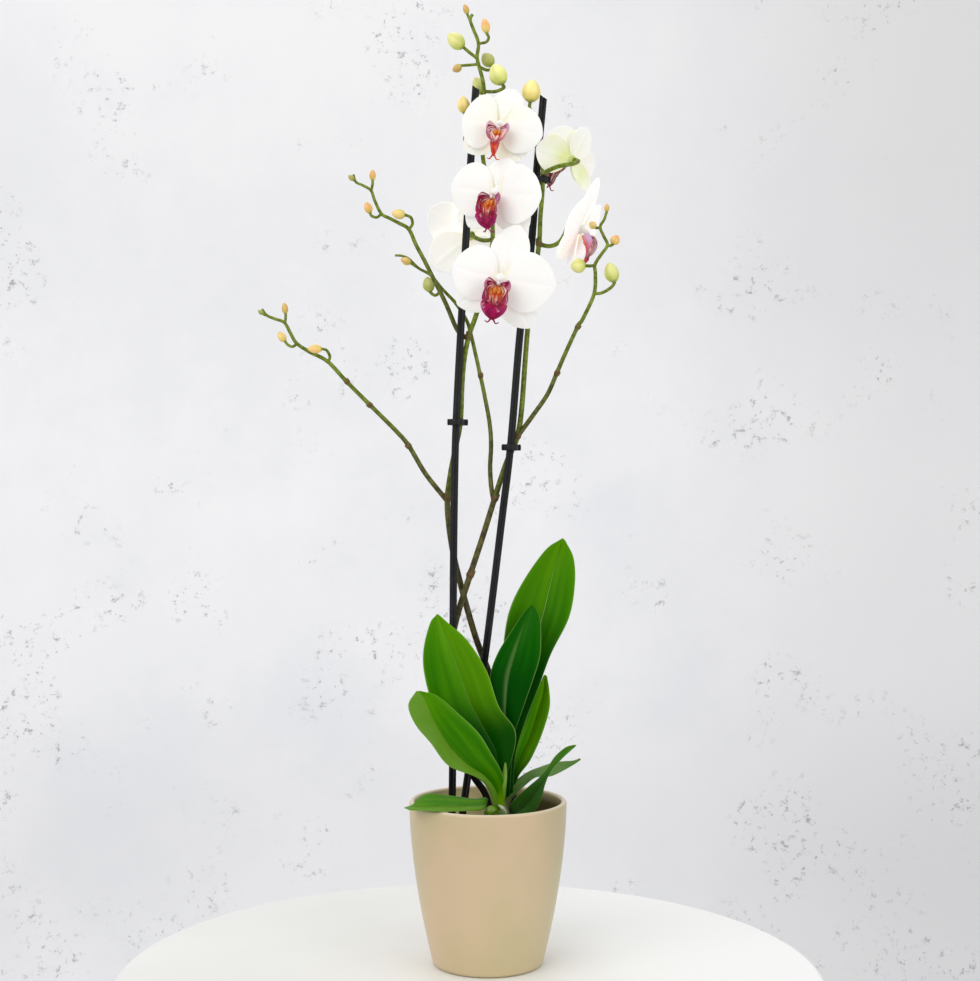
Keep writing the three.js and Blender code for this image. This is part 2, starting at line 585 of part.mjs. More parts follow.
// Spike: stems, raised joints, footstalks and buds grown together as one piece.
function spike(spec) {
  const solids = spec.stems.map((stem, i) => {
    const rings = stemRings(stem);
    return sweep(rings.map(({ point }) => point), rings.map(({ radius }) => radius), i ? 5 : 6);
  });
  for (const bud of spec.buds) solids.push(budSolid(bud, onStem(spec, vector(bud.path[0]))));
  for (const { bloom, path: points } of spec.footstalks) {
    const spot = BLOOMS.find(({ name }) => name === bloom);
    const ends = [BLOOM.hubBack + 5, BLOOM.hubBack + GAP].map((d) => behind(spot, d));
    const line = [onStem(spec, vector(points[0])), ...points.slice(1).map(vector), ...ends];
    solids.push(sweep(line, line.map(() => BLOOM.footstalk), 5));
  }
  return fuse(solids);
}

// The rings of a stem, each a point and a radius. A joint swells to a ring and falls off above it.
function stemRings({ ends, joints, path: points }) {
  return points.flatMap((at, k) => {
    const point = vector(at);
    const radius = ends[0] + ((ends[1] - ends[0]) * k) / (points.length - 1);
    if (!joints.includes(k)) return [{ point, radius }];
    const below = vector(points[k - 1]).sub(point).setLength(JOINT.below).add(point);
    const above = vector(points[k + 1]).sub(point).setLength(JOINT.above).add(point);
    return [{ point: below, radius }, { point, radius: radius + JOINT.raise }, { point: above, radius }];
  });
}

// The point of a spike's stems nearest to a target.
function onStem(spec, target) {
  const near = new THREE.Vector3(Infinity, 0, 0);
  for (const { path: points } of spec.stems)
    for (let k = 0; k + 1 < points.length; k++) {
      const span = new THREE.Line3(vector(points[k]), vector(points[k + 1]));
      const point = span.closestPointToPoint(target, true, new THREE.Vector3());
      if (point.distanceTo(target) < near.distanceTo(target)) near.copy(point);
    }
  return near;
}

// The point at a distance behind the foot of a bloom's column.
function behind({ at, turn, nod }, distance) {
  const [t, n] = [radians(turn), radians(nod)];
  const front = [Math.sin(t) * Math.cos(n), -Math.cos(t) * Math.cos(n), -Math.sin(n)];
  return vector(at).addScaledVector(vector(front), -distance);
}

// Stake: a flat bar with a groove along its front and back, cut square at both ends.
function stake(points, extra) {
  const [w, d] = [STAKE.width / 2 + extra, STAKE.depth / 2 + extra];
  const groove = d - (extra > 0 ? 0 : STAKE.groove);
  const outline = [
    [w, 0.55 * d], [0.72 * w, d], [0.34 * w, d], [0, groove], [-0.34 * w, d], [-0.72 * w, d], [-w, 0.55 * d],
    [-w, -0.55 * d], [-0.72 * w, -d], [-0.34 * w, -d], [0, -groove], [0.34 * w, -d], [0.72 * w, -d], [w, -0.55 * d],
  ];
  const spine = stakeSpine(points);
  const rings = spine.map((middle, i) => {
    const tangent = spine[Math.min(i + 1, STAKE.steps)].clone().sub(spine[Math.max(i - 1, 0)]).normalize();
    const side = new THREE.Vector3(0, 1, 0).cross(tangent).normalize();
    const front = tangent.clone().cross(side);
    return outline.map(([x, y]) => middle.clone().addScaledVector(side, x).addScaledVector(front, y));
  });
  return loft(rings);
}

const stakeSpine = (points) => path(points).getSpacedPoints(STAKE.steps);

// Where a row of points, joined by straight lines, passes a height.
function atHeight(points, height) {
  const k = points.findIndex(({ z }) => z >= height);
  const [a, b] = [points[k - 1], points[k]];
  return a.clone().lerp(b, (height - a.z) / (b.z - a.z));
}

// Clip: a band round a stake and a stem, with a small wing on either side to pinch it open.
function clip(spec) {
  const a = atHeight(stakeSpine(STAKES[spec.stake]), spec.height);
  const b = atHeight(SPIKES[spec.spike].stems[0].path.map(vector), spec.height);
  const turn = Math.atan2(b.y - a.y, b.x - a.x);
  const apart = Math.hypot(b.x - a.x, b.y - a.y);
  const inner = [Math.hypot(STAKE.width, STAKE.depth) / 2 + CLIP.clearance, 3.0 + CLIP.clearance];
  const capsule = (grow, shape) => {
    const lean = Math.acos((inner[0] - inner[1]) / apart);
    shape.absarc(0, 0, inner[0] + grow, turn + lean, turn - lean + 2 * Math.PI, false);
    shape.absarc(b.x - a.x, b.y - a.y, inner[1] + grow, turn - lean, turn + lean, false);
    return shape;
  };
  const band = capsule(CLIP.wall, new THREE.Shape());
  band.holes.push(capsule(0, new THREE.Path()));
  const settings = { depth: CLIP.height, bevelEnabled: false, curveSegments: 5 };
  let solid = solidOf(new THREE.ExtrudeGeometry(band, settings));
  for (const side of [-1, 1]) {
    const beyondStake = [inner[0], 0];
    const beyondStem = [side * (b.x - a.x) + inner[1], b.y - a.y];
    const [reach, depth] = beyondStem[0] > beyondStake[0] ? beyondStem : beyondStake;
    const wing = new THREE.BoxGeometry(CLIP.wing + 1, CLIP.wall, CLIP.height);
    wing.translate(side * (reach + CLIP.wall + (CLIP.wing - 1) / 2), depth, CLIP.height / 2);
    solid = solid.add(solidOf(wing));
  }
  return { solid, at: new THREE.Vector3(a.x, a.y, spec.height - CLIP.height / 2) };
}

// A petal or sepal, in a bloom's own frame: X right, Y up and Z towards who looks at it. Its half width
// is a power of a sine along its length, and it stops just short of a point, which rounds its end.
function petal([angle, length, width], kind, cup) {
  const turn = radians(angle);
  const out = new THREE.Vector3(Math.sin(turn), Math.cos(turn), 0);
  const side = new THREE.Vector3(Math.cos(turn), -Math.sin(turn), 0);
  const surface = (share, u) => {
    const t = share * BLOOM.petalEnd;
    const half = (width / 2) * Math.pow(Math.sin(Math.PI * Math.pow(t, kind.peak)), kind.full) + kind.claw;
    const bow = kind.bow * Math.sin(Math.PI * t) * (1 - 0.7 * u * u);
    const depth = kind.root + bow - kind.back * t * t + cup * length * t * t;
    const reach = BLOOM.petalRoot + (length - BLOOM.petalRoot) * share * (1 - 0.4 * cup * share);
    return out.clone().multiplyScalar(reach).addScaledVector(side, half * u).setZ(depth);
  };
  return blade(surface, () => BLOOM.petalThickness, kind.rows, kind.columns);
}

function petals({ petals: list, cup }) {
  const sepal = { peak: 0.9, full: 0.7, claw: 1.6, root: -1.2, back: 3.5, bow: 1, rows: 5, columns: 2 };
  const wing = { peak: 0.8, full: 0.6, claw: 1.6, root: 1, back: 2.5, bow: 2.5, rows: 5, columns: 4 };
  const hub = tube(
    path([[0, 0, -BLOOM.hubBack], [0, 0, 2.5]]), (t) => BLOOM.hubRadius * (0.6 + 0.4 * Math.sin(2.2 * t)), 7, 2,
  );
  const column = tube(path([[0, 0, 0], [0, -0.4, 6], [0, -2.2, 10]]), (t) => 3 - 0.5 * Math.sin(Math.PI * t), 6, 3);
  return fuse([...list.map((shape, i) => petal(shape, i < 3 ? sepal : wing, cup)), hub, column]);
}

// Lip: one curled sheet. Near its root it is wide, and its sides stand up beside the column, which
// makes the side lobes. The middle lobe is a shield that runs to a point, with two tendrils. The sheet
// is thickest at its root, in a small swelling.
function lip(middle) {
  const spine = path([[0, -5.5, 4.5], [0, -9.5, 9], [0, -13.5, 13], [0, -19, 15.8], [0, -26.5, 16.3], [0, -33.5, 14.5]]);
  const surface = (t, u) => {
    const sides = Math.pow(Math.sin(Math.PI * Math.pow(Math.min(1, t / 0.58), 1.1)), 0.7);
    const point = Math.max(0, (t - 0.66) / 0.34);
    const shield = smooth((t - 0.42) / 0.2) * (1 - point * point);
    const half = 3 - 2.2 * point + 12 * sides + middle * shield * (1 - sides);
    const curl = 0.45 + 1.65 * smooth((0.64 - t) / 0.26);
    const tangent = spine.getTangentAt(t);
    const upright = new THREE.Vector3(0, tangent.z + sides, -tangent.y).normalize();
    return spine.getPointAt(t)
      .addScaledVector(new THREE.Vector3(1 + 0.45 * sides, 0, 0), (Math.sin(curl * u) / curl) * half)
      .addScaledVector(upright, ((1 - Math.cos(curl * u)) / curl) * half);
  };
  const swelling = (t, u) => 3 * Math.exp(-Math.pow((t - 0.22) / 0.14, 2) - Math.pow(u / 0.25, 2));
  const solids = [blade(surface, (t, u) => BLOOM.lipThickness + swelling(t, u), 9, 6)];
  for (const s of [-1, 1]) {
    const curl = [[0.8 * s, -32.3, 14.7], [3.2 * s, -35.6, 13], [5.6 * s, -34.6, 10.8]];
    solids.push(tube(path(curl), (t) => 0.85 - 0.35 * t, 3, 3));
  }
  return fuse(solids);
}

function mesh(name, solid, colour, roughness) {
  const material = new THREE.MeshStandardMaterial({ color: colour, roughness, metalness: 0 });
  const made = new THREE.Mesh(geometryOf(solid), material);
  made.name = name;
  return made;
}

const orchid = new THREE.Group();

const crownSolid = crown(0);
const crownCutter = crown(GAP);
orchid.add(mesh("pot", pot(), COLOURS.pot, 0.4));
orchid.add(mesh("grow_pot", growPot(), COLOURS.growPot, 0.3));
orchid.add(mesh("crown", crownSolid, COLOURS.crown, 0.5));

const stakeCutters = Object.values(STAKES).map((points) => stake(points, GAP));
orchid.add(mesh("bark", bark([crownCutter, ...stakeCutters]), COLOURS.bark, 0.9));
for (const [side, points] of Object.entries(STAKES))
  orchid.add(mesh(`stake_${side}`, stake(points, 0), COLOURS.plastic, 0.55));

// Each leaf is trimmed by those that were placed before it, so that their roots lie side by side.
const leafCutters = [crownCutter];
for (const spec of LEAVES) {
  const solid = largest(leafCutters.reduce((left, cutter) => left.subtract(cutter), leaf(spec, 0)));
  leafCutters.push(leaf(spec, 2 * GAP));
  orchid.add(mesh(spec.name, solid, COLOURS.leaf, 0.35));
}

for (const [name, spec] of Object.entries(SPIKES)) {
  const solid = largest(leafCutters.reduce((left, cutter) => left.subtract(cutter), spike(spec)));
  orchid.add(mesh(name, solid, COLOURS.spike, 0.5));
}

for (const spec of CLIPS) {
  const { solid, at } = clip(spec);
  const made = mesh(spec.name, solid, COLOURS.plastic, 0.4);
  made.position.copy(at);
  orchid.add(made);
}

for (const spec of BLOOMS) {
  const stand = new THREE.Group();
  stand.position.set(...spec.at);
  stand.rotation.z = radians(spec.turn);
  const head = new THREE.Group();
  head.rotation.set(Math.PI / 2 + radians(spec.nod), 0, radians(spec.lean));
  head.add(mesh(`${spec.name}_petals`, petals(spec), COLOURS.petal, 0.6));
  const lipMesh = mesh(`${spec.name}_lip`, lip(spec.lipMiddle), COLOURS.lip, 0.45);
  lipMesh.scale.setScalar(spec.lipScale);
  head.add(lipMesh);
  stand.add(head);
  orchid.add(stand);
}

export default orchid;
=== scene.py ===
# %% [markdown]
# # A potted moth orchid
# Two branching flower spikes lean on black stakes over a fan of glossy leaves in a satin stoneware pot.
# Every piece here is a surface worked out with numpy from the same few measures that its solid was
# built from, so it lies where the solid lies, and only gets smoother, thinner at the edges and coloured.

# %% Frame
import math
import bpy
import numpy as np
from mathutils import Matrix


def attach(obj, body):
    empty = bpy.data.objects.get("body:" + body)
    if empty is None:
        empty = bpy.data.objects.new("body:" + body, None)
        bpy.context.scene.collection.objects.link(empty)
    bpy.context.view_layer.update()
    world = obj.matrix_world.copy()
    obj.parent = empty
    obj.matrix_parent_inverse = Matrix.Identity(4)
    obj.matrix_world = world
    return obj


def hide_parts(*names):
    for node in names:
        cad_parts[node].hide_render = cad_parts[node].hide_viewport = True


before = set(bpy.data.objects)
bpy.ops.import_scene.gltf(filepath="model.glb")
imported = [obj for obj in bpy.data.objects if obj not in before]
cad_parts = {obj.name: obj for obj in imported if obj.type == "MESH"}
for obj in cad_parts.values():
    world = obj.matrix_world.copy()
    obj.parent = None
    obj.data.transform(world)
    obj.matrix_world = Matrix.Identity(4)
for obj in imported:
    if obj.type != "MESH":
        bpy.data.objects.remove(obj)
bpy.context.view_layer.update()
BODY = "root"
MM = 0.001
print("nodes in the frame:", len(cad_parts))

# %% [markdown]
# ## The camera
# The photographer stood 1.31 m in front of the pot, with the lens level and about half way up the plant.
# A lens that is level and not shifted keeps the stakes' lean true, so the camera is set by its distance,
# its height and its focal length in pixels alone.

# %% Camera
CAMERA_AT = (1.7, -1311.0, 393.0)
FOCAL_PIXELS = 1573.0
PICTURE_PIXELS = 981
SENSOR = 36.0

lens = bpy.data.cameras.new("camera")
lens.sensor_width = SENSOR
lens.lens = FOCAL_PIXELS * SENSOR / PICTURE_PIXELS
lens.clip_end = 20
camera = bpy.data.objects.new("camera", lens)
camera.location = [value * MM for value in CAMERA_AT]
camera.rotation_euler = (math.radians(90), 0, 0)
bpy.context.scene.collection.objects.link(camera)
bpy.context.scene.camera = camera
print("lens", round(lens.lens, 2), "mm")

# %% [markdown]
# ## Curves and grids
# A stem, a leaf and a petal are all a grid of points: rows along the piece and columns across or round
# it. A few helpers are enough for all of them: a smooth curve through points, two directions square to
# a path, a thin blade with rounded edges, and a tube. They work on whole arrays at once.

# %% Curves
FINE_SHARES = np.linspace(0, 1, 400)


def spline(points, shares):
    """A Catmull-Rom curve at shares from 0 to 1. Each span is the cubic that joins two neighbouring
    points, with slopes of half the step between the points on either side of each."""
    points = np.asarray(points, float)
    padded = np.vstack([2 * points[0] - points[1], points, 2 * points[-1] - points[-2]])
    place = np.clip(shares, 0, 1) * (len(points) - 1)
    span = np.minimum(place.astype(int), len(points) - 2)
    t = (place - span)[..., None]
    a, b, c, d = (padded[span + step] for step in range(4))
    return 0.5 * (2 * b + (c - a) * t + (2 * a - 5 * b + 4 * c - d) * t**2 + (3 * b - a - 3 * c + d) * t**3)


def unit(vectors):
    """Vectors divided by their own length."""
    return vectors / np.maximum(np.linalg.norm(vectors, axis=-1, keepdims=True), 1e-9)


def smooth(values, low=0.0, high=1.0):
    """0 below low, 1 above high, and 3x^2 - 2x^3 of the share between them."""
    x = np.clip((np.asarray(values, float) - low) / (high - low), 0, 1)
    return x * x * (3 - 2 * x)


def eased(count):
    """Shares from 0 to 1, closer together at both ends: (1 - cos(pi x)) / 2."""
    return (1 - np.cos(np.pi * np.linspace(0, 1, count))) / 2


def arc_length(path):
    """The length of a path up to each of its points."""
    return np.concatenate([[0], np.cumsum(np.linalg.norm(np.diff(path, axis=0), axis=1))])


def square_to(path):
    """Two unit directions square to a path at each point. The first lies in the plane that the path
    bends in, which the tangents' singular vectors give, so the pair never flips on a planar bend."""
    tangent = unit(np.gradient(path, axis=0))
    flat = np.linalg.svd(tangent, full_matrices=False)[2][-1]
    side = unit(np.cross(tangent, flat))
    return side, np.cross(tangent, side)


def ring_angles(count):
    """Angles evenly round a ring."""
    return np.linspace(0, 2 * np.pi, count, endpoint=False)


def across_shares(columns):
    """Shares from -1 to 1 across a blade, closer together at its two rims: sin(x pi / 2)."""
    return np.sin(np.linspace(-1, 1, columns) * np.pi / 2)


def turned_about(axis, angle):
    """The matrix of a turn about one axis."""
    c, s = math.cos(angle), math.sin(angle)
    return np.array({"x": [[1, 0, 0], [0, c, -s], [0, s, c]],
                     "y": [[c, 0, s], [0, 1, 0], [-s, 0, c]],
                     "z": [[c, -s, 0], [s, c, 0], [0, 0, 1]]}[axis])

# %% Grids
def sheet(points, marks=None, wrap=False):
    """A grid of points as four-cornered faces. Marks are numbers kept at each point for the materials,
    and wrap joins the last column to the first."""
    rows, columns = points.shape[:2]
    index = np.arange(rows * columns).reshape(rows, columns)
    if wrap:
        index = np.hstack([index, index[:, :1]])
    faces = np.stack([index[:-1, :-1], index[:-1, 1:], index[1:, 1:], index[1:, :-1]], -1).reshape(-1, 4)
    flat = {name: np.array(np.broadcast_to(value, (rows, columns)), float).reshape(-1)
            for name, value in (marks or {}).items()}
    return {"points": points.reshape(-1, 3), "faces": faces, "marks": flat, "finish": 0}


def join(parts):
    """Several parts as one, with each mark 0 on the parts that don't have it."""
    starts = np.cumsum([0] + [len(part["points"]) for part in parts])
    names = sorted({name for part in parts for name in part["marks"]})
    blank = [np.zeros(len(part["points"])) for part in parts]
    return {
        "points": np.vstack([part["points"] for part in parts]),
        "faces": np.vstack([part["faces"] + start for part, start in zip(parts, starts)]),
        "marks": {name: np.concatenate([part["marks"].get(name, zero) for part, zero in zip(parts, blank)])
                  for name in names},
        "finish": np.concatenate([np.full(len(part["faces"]), part["finish"]) for part in parts]),
    }


def weld(part):
    """Points that lie within a thousandth of a millimetre become one, which closes seams and poles."""
    keys = np.round(part["points"] * 1000).astype(np.int64)
    first, back = np.unique(keys, axis=0, return_index=True, return_inverse=True)[1:]
    return {**part, "points": part["points"][first], "faces": back.reshape(-1)[part["faces"]],
            "marks": {name: value[first] for name, value in part["marks"].items()}}


def blade(points, thickness, marks):
    """A closed blade about a grid. Both faces stand off by half the thickness along the grid's normal,
    and the thickness falls to nothing at the rim as a root of 1 - x^8, so that the rim is round."""
    rows, columns = points.shape[:2]
    normal = unit(np.cross(np.gradient(points, axis=1), np.gradient(points, axis=0)))
    across = np.abs(across_shares(columns))[None, :]
    along = np.abs(2 * eased(rows) - 1)[:, None]
    rim = np.sqrt(np.clip((1 - across**8) * (1 - along**30), 0, 1))
    half = (0.5 * thickness * rim)[..., None]
    front = sheet(points + normal * half, {**marks, "under": 0})
    under = sheet(points - normal * half, {**marks, "under": 1})
    under["faces"] = under["faces"][:, ::-1]
    return weld(join([front, under]))


def closed(rings, marks=None):
    """Rings of points as one skin, closed by a point in the middle of the first ring and of the last."""
    ends = [np.repeat(rings[end].mean(0)[None, None], rings.shape[1], axis=1) for end in (0, -1)]
    wide = {name: np.pad(np.broadcast_to(value if np.ndim(value) == 2 else np.reshape(value, (-1, 1)),
                                         rings.shape[:2]), ((1, 1), (0, 0)), mode="edge")
            for name, value in (marks or {}).items()}
    return weld(sheet(np.concatenate([ends[0], rings, ends[1]]), wide, wrap=True))


def tube(path, radii, sides, marks=None, directions=None):
    """Rings round a path. The radii are one number for each ring, or one for each of its points."""
    side, front = directions or square_to(path)
    angle = ring_angles(sides)[:, None]
    radii = np.reshape(radii, (len(path), -1, 1))
    around = np.cos(angle) * side[:, None] + np.sin(angle) * front[:, None]
    return closed(path[:, None] + radii * around, marks)


def lathe(profile, turns, marks=None):
    """A row of radii and heights turned about the upright axis."""
    angle = ring_angles(turns)
    radius, height = np.asarray(profile, float).T
    grid = np.stack([radius[:, None] * np.cos(angle), radius[:, None] * np.sin(angle),
                     np.repeat(height[:, None], turns, axis=1)], -1)
    return weld(sheet(grid, marks, wrap=True))

# %% [markdown]
# ## From grids to pieces
# Blender keeps a number at each point of a mesh as an attribute, which a material can read. So the share
# along a leaf, or how far across a petal a point lies, travels with the mesh, and a pattern that follows
# the surface needs no image.

# %% Pieces
def make_object(name, parts, materials, crease=None):
    """One object from its parts, in metres, smooth shaded but for edges past the crease's angle. Faces
    that lost a corner to welding become triangles, and those that lost two are left out."""
    whole = join(parts)
    faces = whole["faces"]
    doubled = faces == np.roll(faces, -1, axis=1)
    kept = doubled.sum(1) < 2
    faces, doubled, finish = faces[kept], doubled[kept], whole["finish"][kept]
    three = doubled.any(1)
    corner = np.argmax(doubled[three], axis=1)
    order = (corner[:, None] + np.array([1, 2, 3])) % 4
    triangles = np.take_along_axis(faces[three], order, axis=1)
    mesh = bpy.data.meshes.new(name)
    mesh.from_pydata((whole["points"] * MM).tolist(), [], faces[~three].tolist() + triangles.tolist())
    finish = np.concatenate([finish[~three], finish[three]]).astype(np.int32)
    mesh.polygons.foreach_set("material_index", finish)
    for label, values in whole["marks"].items():
        mesh.attributes.new(label, "FLOAT", "POINT").data.foreach_set("value", values.astype(np.float32))
    for material in materials:
        mesh.materials.append(material)
    mesh.shade_smooth()
    mesh.validate()
    if crease:
        mesh.set_sharp_from_angle(angle=math.radians(crease))
    made = bpy.data.objects.new(name, mesh)
    bpy.context.scene.collection.objects.link(made)
    print(name, len(mesh.polygons), "faces")
    return made


def make_piece(name, parts, materials, node, crease=None):
    """One object that rides on the pot's body in the place of a node."""
    piece = make_object(name, parts, materials, crease)
    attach(piece, BODY)
    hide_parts(node)

# %% [markdown]
# ## Nodes for materials
# A material is a small tree of nodes. These helpers only shorten the writing: each adds one node to the
# tree that is being built and hands back its output. Colours are written as the eye sees them on screen,
# from 0 to 255, and turned into the linear numbers that light is reckoned in, or given as linear numbers.
# NOW holds the tree that is being built and its shader.

# %% Node helpers
NOW = {}


def screen(red, green, blue):
    """A colour from screen values: below 10 of 255 a straight line, above it a power of 2.4."""
    value = np.array([red, green, blue]) / 255
    return linear(*np.where(value <= 0.04045, value / 12.92, ((value + 0.055) / 1.055) ** 2.4).tolist())


def linear(red, green, blue):
    """A colour from linear values."""
    return (red, green, blue, 1.0)


def place(kind, values=(), **settings):
    """One node. Values are numbers or sockets for its inputs, by name or place."""
    made = NOW["tree"].nodes.new(kind)
    for key, value in settings.items():
        setattr(made, key, value)
    for key, value in dict(values).items():
        if isinstance(value, bpy.types.NodeSocket):
            NOW["tree"].links.new(value, made.inputs[key])
        else:
            made.inputs[key].default_value = value
    return made


def mixed(share, first, second):
    """Two colours mixed by a share."""
    return place("ShaderNodeMix", {0: share, 6: first, 7: second}, data_type="RGBA").outputs[2]


def layered(colour, *layers):
    """A colour with others mixed over it in turn, each by its own share."""
    for share, over in layers:
        colour = mixed(share, colour, over)
    return colour


def sums(operation, *values):
    """One step of arithmetic on numbers or sockets."""
    return place("ShaderNodeMath", dict(enumerate(values)), operation=operation).outputs[0]


def times(first, second):
    """A product."""
    return sums("MULTIPLY", first, second)


def plus(first, second):
    """A sum."""
    return sums("ADD", first, second)


def mark(name):
    """The number that a mesh keeps at its points under this name."""
    return place("ShaderNodeAttribute", attribute_name=name).outputs["Fac"]


def ramped(value, low, high, start=0.0, end=1.0):
    """A smooth step of a value from low to high, given as start to end."""
    values = {0: value, 1: low, 2: high, 3: start, 4: end}
    return place("ShaderNodeMapRange", values, interpolation_type="SMOOTHSTEP").outputs[0]


def where():
    """The point's place on the object."""
    return place("ShaderNodeTexCoord").outputs["Object"]


def coordinate(axis):
    """The point's X, Y or Z on the object."""
    return place("ShaderNodeSeparateXYZ", {0: where()}).outputs[axis]


def speckle(vector, scale, detail=3.0, roughness=0.5):
    """Cloudy noise of about 0 to 1, scale times a metre."""
    values = {"Vector": vector, "Scale": scale, "Detail": detail, "Roughness": roughness}
    return place("ShaderNodeTexNoise", values).outputs["Fac"]


def clouds(scale, low, high, start=0.0, end=1.0, detail=3.0, roughness=0.5):
    """A smooth step of noise on the object."""
    return ramped(speckle(where(), scale, detail, roughness), low, high, start, end)


def new_finish(name, **constants):
    """A material with one principled shader, and the values that are the same all over it."""
    material = bpy.data.materials.new(name)
    material.use_nodes = True
    NOW["tree"] = material.node_tree
    NOW["tree"].nodes.clear()
    NOW["surface"] = place("ShaderNodeBsdfPrincipled", {k.replace("_", " "): v for k, v in constants.items()})
    place("ShaderNodeOutputMaterial", {"Surface": NOW["surface"].outputs[0]})
    return material


def feed(colour, normal=None, glow=None):
    """Links a colour, a normal and an emitted colour to the shader of the finish that is being built."""
    for name, value in {"Base Color": colour, "Normal": normal, "Emission Color": glow}.items():
        if value:
            NOW["tree"].links.new(value, NOW["surface"].inputs[name])

# %% [markdown]
# Two effects return in nearly every finish of a plant: fine streaks that run lengthwise, along the veins
# of a leaf, a petal or a stem, and a fine grain that breaks up the gloss. Each is built once, as a node
# group, and placed with its own values.

# %% Shared effects
def new_group(name, inputs, output, kind):
    """A node group with named number or vector inputs and one output."""
    group = NOW["tree"] = bpy.data.node_groups.new(name, "ShaderNodeTree")
    for label, shape in inputs.items():
        group.interface.new_socket(label, in_out="INPUT", socket_type=shape)
    group.interface.new_socket(output, in_out="OUTPUT", socket_type=kind)
    return group, place("NodeGroupInput").outputs, place("NodeGroupOutput").inputs[output]


def make_streaks():
    """Noise read at (across times count, along times stretch), so that it is drawn out lengthwise."""
    numbers = {name: "NodeSocketFloat" for name in ("Along", "Across", "Count", "Stretch", "Seed")}
    group, given, result = new_group("lengthwise_streaks", numbers, "Value", "NodeSocketFloat")
    spot = {0: times(given["Across"], given["Count"]), 1: times(given["Along"], given["Stretch"]),
            2: given["Seed"]}
    group.links.new(speckle(place("ShaderNodeCombineXYZ", spot).outputs[0], 1.0, 2.0), result)
    return group


def make_grain():
    """A bump from noise of the object's own coordinates."""
    kinds = {"Vector": "NodeSocketVector", "Scale": "NodeSocketFloat", "Depth": "NodeSocketFloat"}
    group, given, result = new_group("surface_grain", kinds, "Normal", "NodeSocketVector")
    bump = {"Height": speckle(given["Vector"], given["Scale"]), "Distance": given["Depth"]}
    group.links.new(place("ShaderNodeBump", bump).outputs[0], result)
    return group


STREAKS, GRAIN = make_streaks(), make_grain()


def streaks(count, stretch, seed=0.0):
    """The streaks group, reading the marks along and across."""
    values = {"Along": mark("along"), "Across": mark("across"), "Count": count, "Stretch": stretch,
              "Seed": seed}
    return place("ShaderNodeGroup", values, node_tree=STREAKS).outputs["Value"]


def grain(scale, depth):
    """The grain group's normal, with scale per metre and depth in millimetres."""
    values = {"Vector": where(), "Scale": scale, "Depth": depth * MM}
    return place("ShaderNodeGroup", values, node_tree=GRAIN).outputs["Normal"]


def ridged(height, depth, normal):
    """A bump of a height over another normal, with depth in millimetres."""
    return place("ShaderNodeBump", {"Height": height, "Distance": depth * MM, "Normal": normal}).outputs[0]

# %% [markdown]
# ## The pot
# A slip-cast stoneware pot under a satin glaze: the wall flares quickly above the foot and runs nearly
# straight below the lip, as 1 - (1 - h)^1.75. The glaze is matt enough to hide sharp reflections, with
# soft clouds in its colour and a faint orange-peel surface, so its colour drifts with broad noise.

# %% Pot
POT_HEIGHT, RIM_RADIUS, BASE_RADIUS = 135.5, 65.5, 45.5
POT_WALL, POT_FLOOR, FLARE, FOOT_ROUND, FILLET = 4.6, 8.0, 1.75, 4.0, 6.0
POT_TURNS, INNER_LIP = 128, 2


def pot_radius(z):
    """The outer radius at a height."""
    share = np.minimum(1, z / POT_HEIGHT)
    return BASE_RADIUS + (RIM_RADIUS - BASE_RADIUS) * (1 - (1 - share) ** FLARE)


def pot_profile():
    """Radii and heights from the foot's middle, up the outside, over the lip and down the inside. The
    second value is how many of them come before the inside."""
    turn = np.linspace(0, np.pi / 2, 9)
    out = pot_radius(FOOT_ROUND) - BASE_RADIUS + FOOT_ROUND
    foot = np.stack([BASE_RADIUS - FOOT_ROUND + out * np.sin(turn), FOOT_ROUND * (1 - np.cos(turn))], -1)
    lip = POT_WALL / 2
    top = POT_HEIGHT - lip
    heights = np.linspace(FOOT_ROUND, top, 40)[1:]
    wall = np.stack([pot_radius(heights), heights], -1)
    over = np.linspace(0, np.pi, 15)[1:]
    rim = np.stack([pot_radius(top) - lip + lip * np.cos(over), top + lip * np.sin(over)], -1)
    down = np.linspace(top - 2, POT_FLOOR + FILLET, 24)
    inside = np.stack([pot_radius(down) - POT_WALL, down], -1)
    corner = pot_radius(POT_FLOOR) - POT_WALL
    fillet = [(corner - FILLET * (1 - np.cos(a)), POT_FLOOR + FILLET * (1 - np.sin(a))) for a in turn[1:]]
    outer = [[(0, 0)], foot, wall, rim]
    return np.vstack([*outer, inside, fillet, [(0, POT_FLOOR)]]), sum(len(part) for part in outer)


profile, outer_count = pot_profile()
# Painted light and shade inside the pot: below the lip the inner wall turns lighter on the left and dark on the
# right.
below_lip = smooth(POT_HEIGHT - profile[:, 1], 0.5, 9.0)
inside = below_lip * (np.arange(len(profile)) >= outer_count - INNER_LIP)
# A painted highlight: a thin light line along the top of the lip.
brim = np.exp(-(((profile[:, 1] - POT_HEIGHT) / 0.9) ** 2))
glaze = new_finish("satin_glaze", Roughness=0.42, Coat_Weight=0.25, Coat_Roughness=0.3)
right = coordinate("X")
colour = layered(
    mixed(clouds(14, 0.35, 0.65, detail=2), screen(208, 183, 148), screen(198, 181, 140)),
    # painted shade: the glaze darker and greener towards the pot's right side
    (ramped(right, 0.035, 0.062, 0, 0.6), screen(178, 170, 128)),
    # painted light on the left of the inside and painted shade on the right
    (mark("inside"), mixed(ramped(right, -0.03, 0.03), screen(240, 226, 166), screen(74, 66, 22))),
    # painted highlight along the lip
    (times(mark("brim"), 0.7), screen(232, 218, 192)),
    (times(clouds(900, 0.68, 0.8, detail=1), 0.12), screen(150, 130, 98)))
feed(colour, grain(260, 0.05))
pot_part = lathe(profile, POT_TURNS, {"inside": inside[:, None], "brim": brim[:, None]})
make_piece("glazed_pot", [pot_part], [glaze], "pot")

# %% [markdown]
# ## The grow pot and the bark
# The plant was raised in a thin tapered cup, which stands inside the stoneware pot. Bark chips fill it
# to just below the rim. Only a view from above shows them, so each chip is a small bent box: a few faces,
# placed on a sunflower spiral, whose turns of 137.5 degrees spread any number of things evenly.

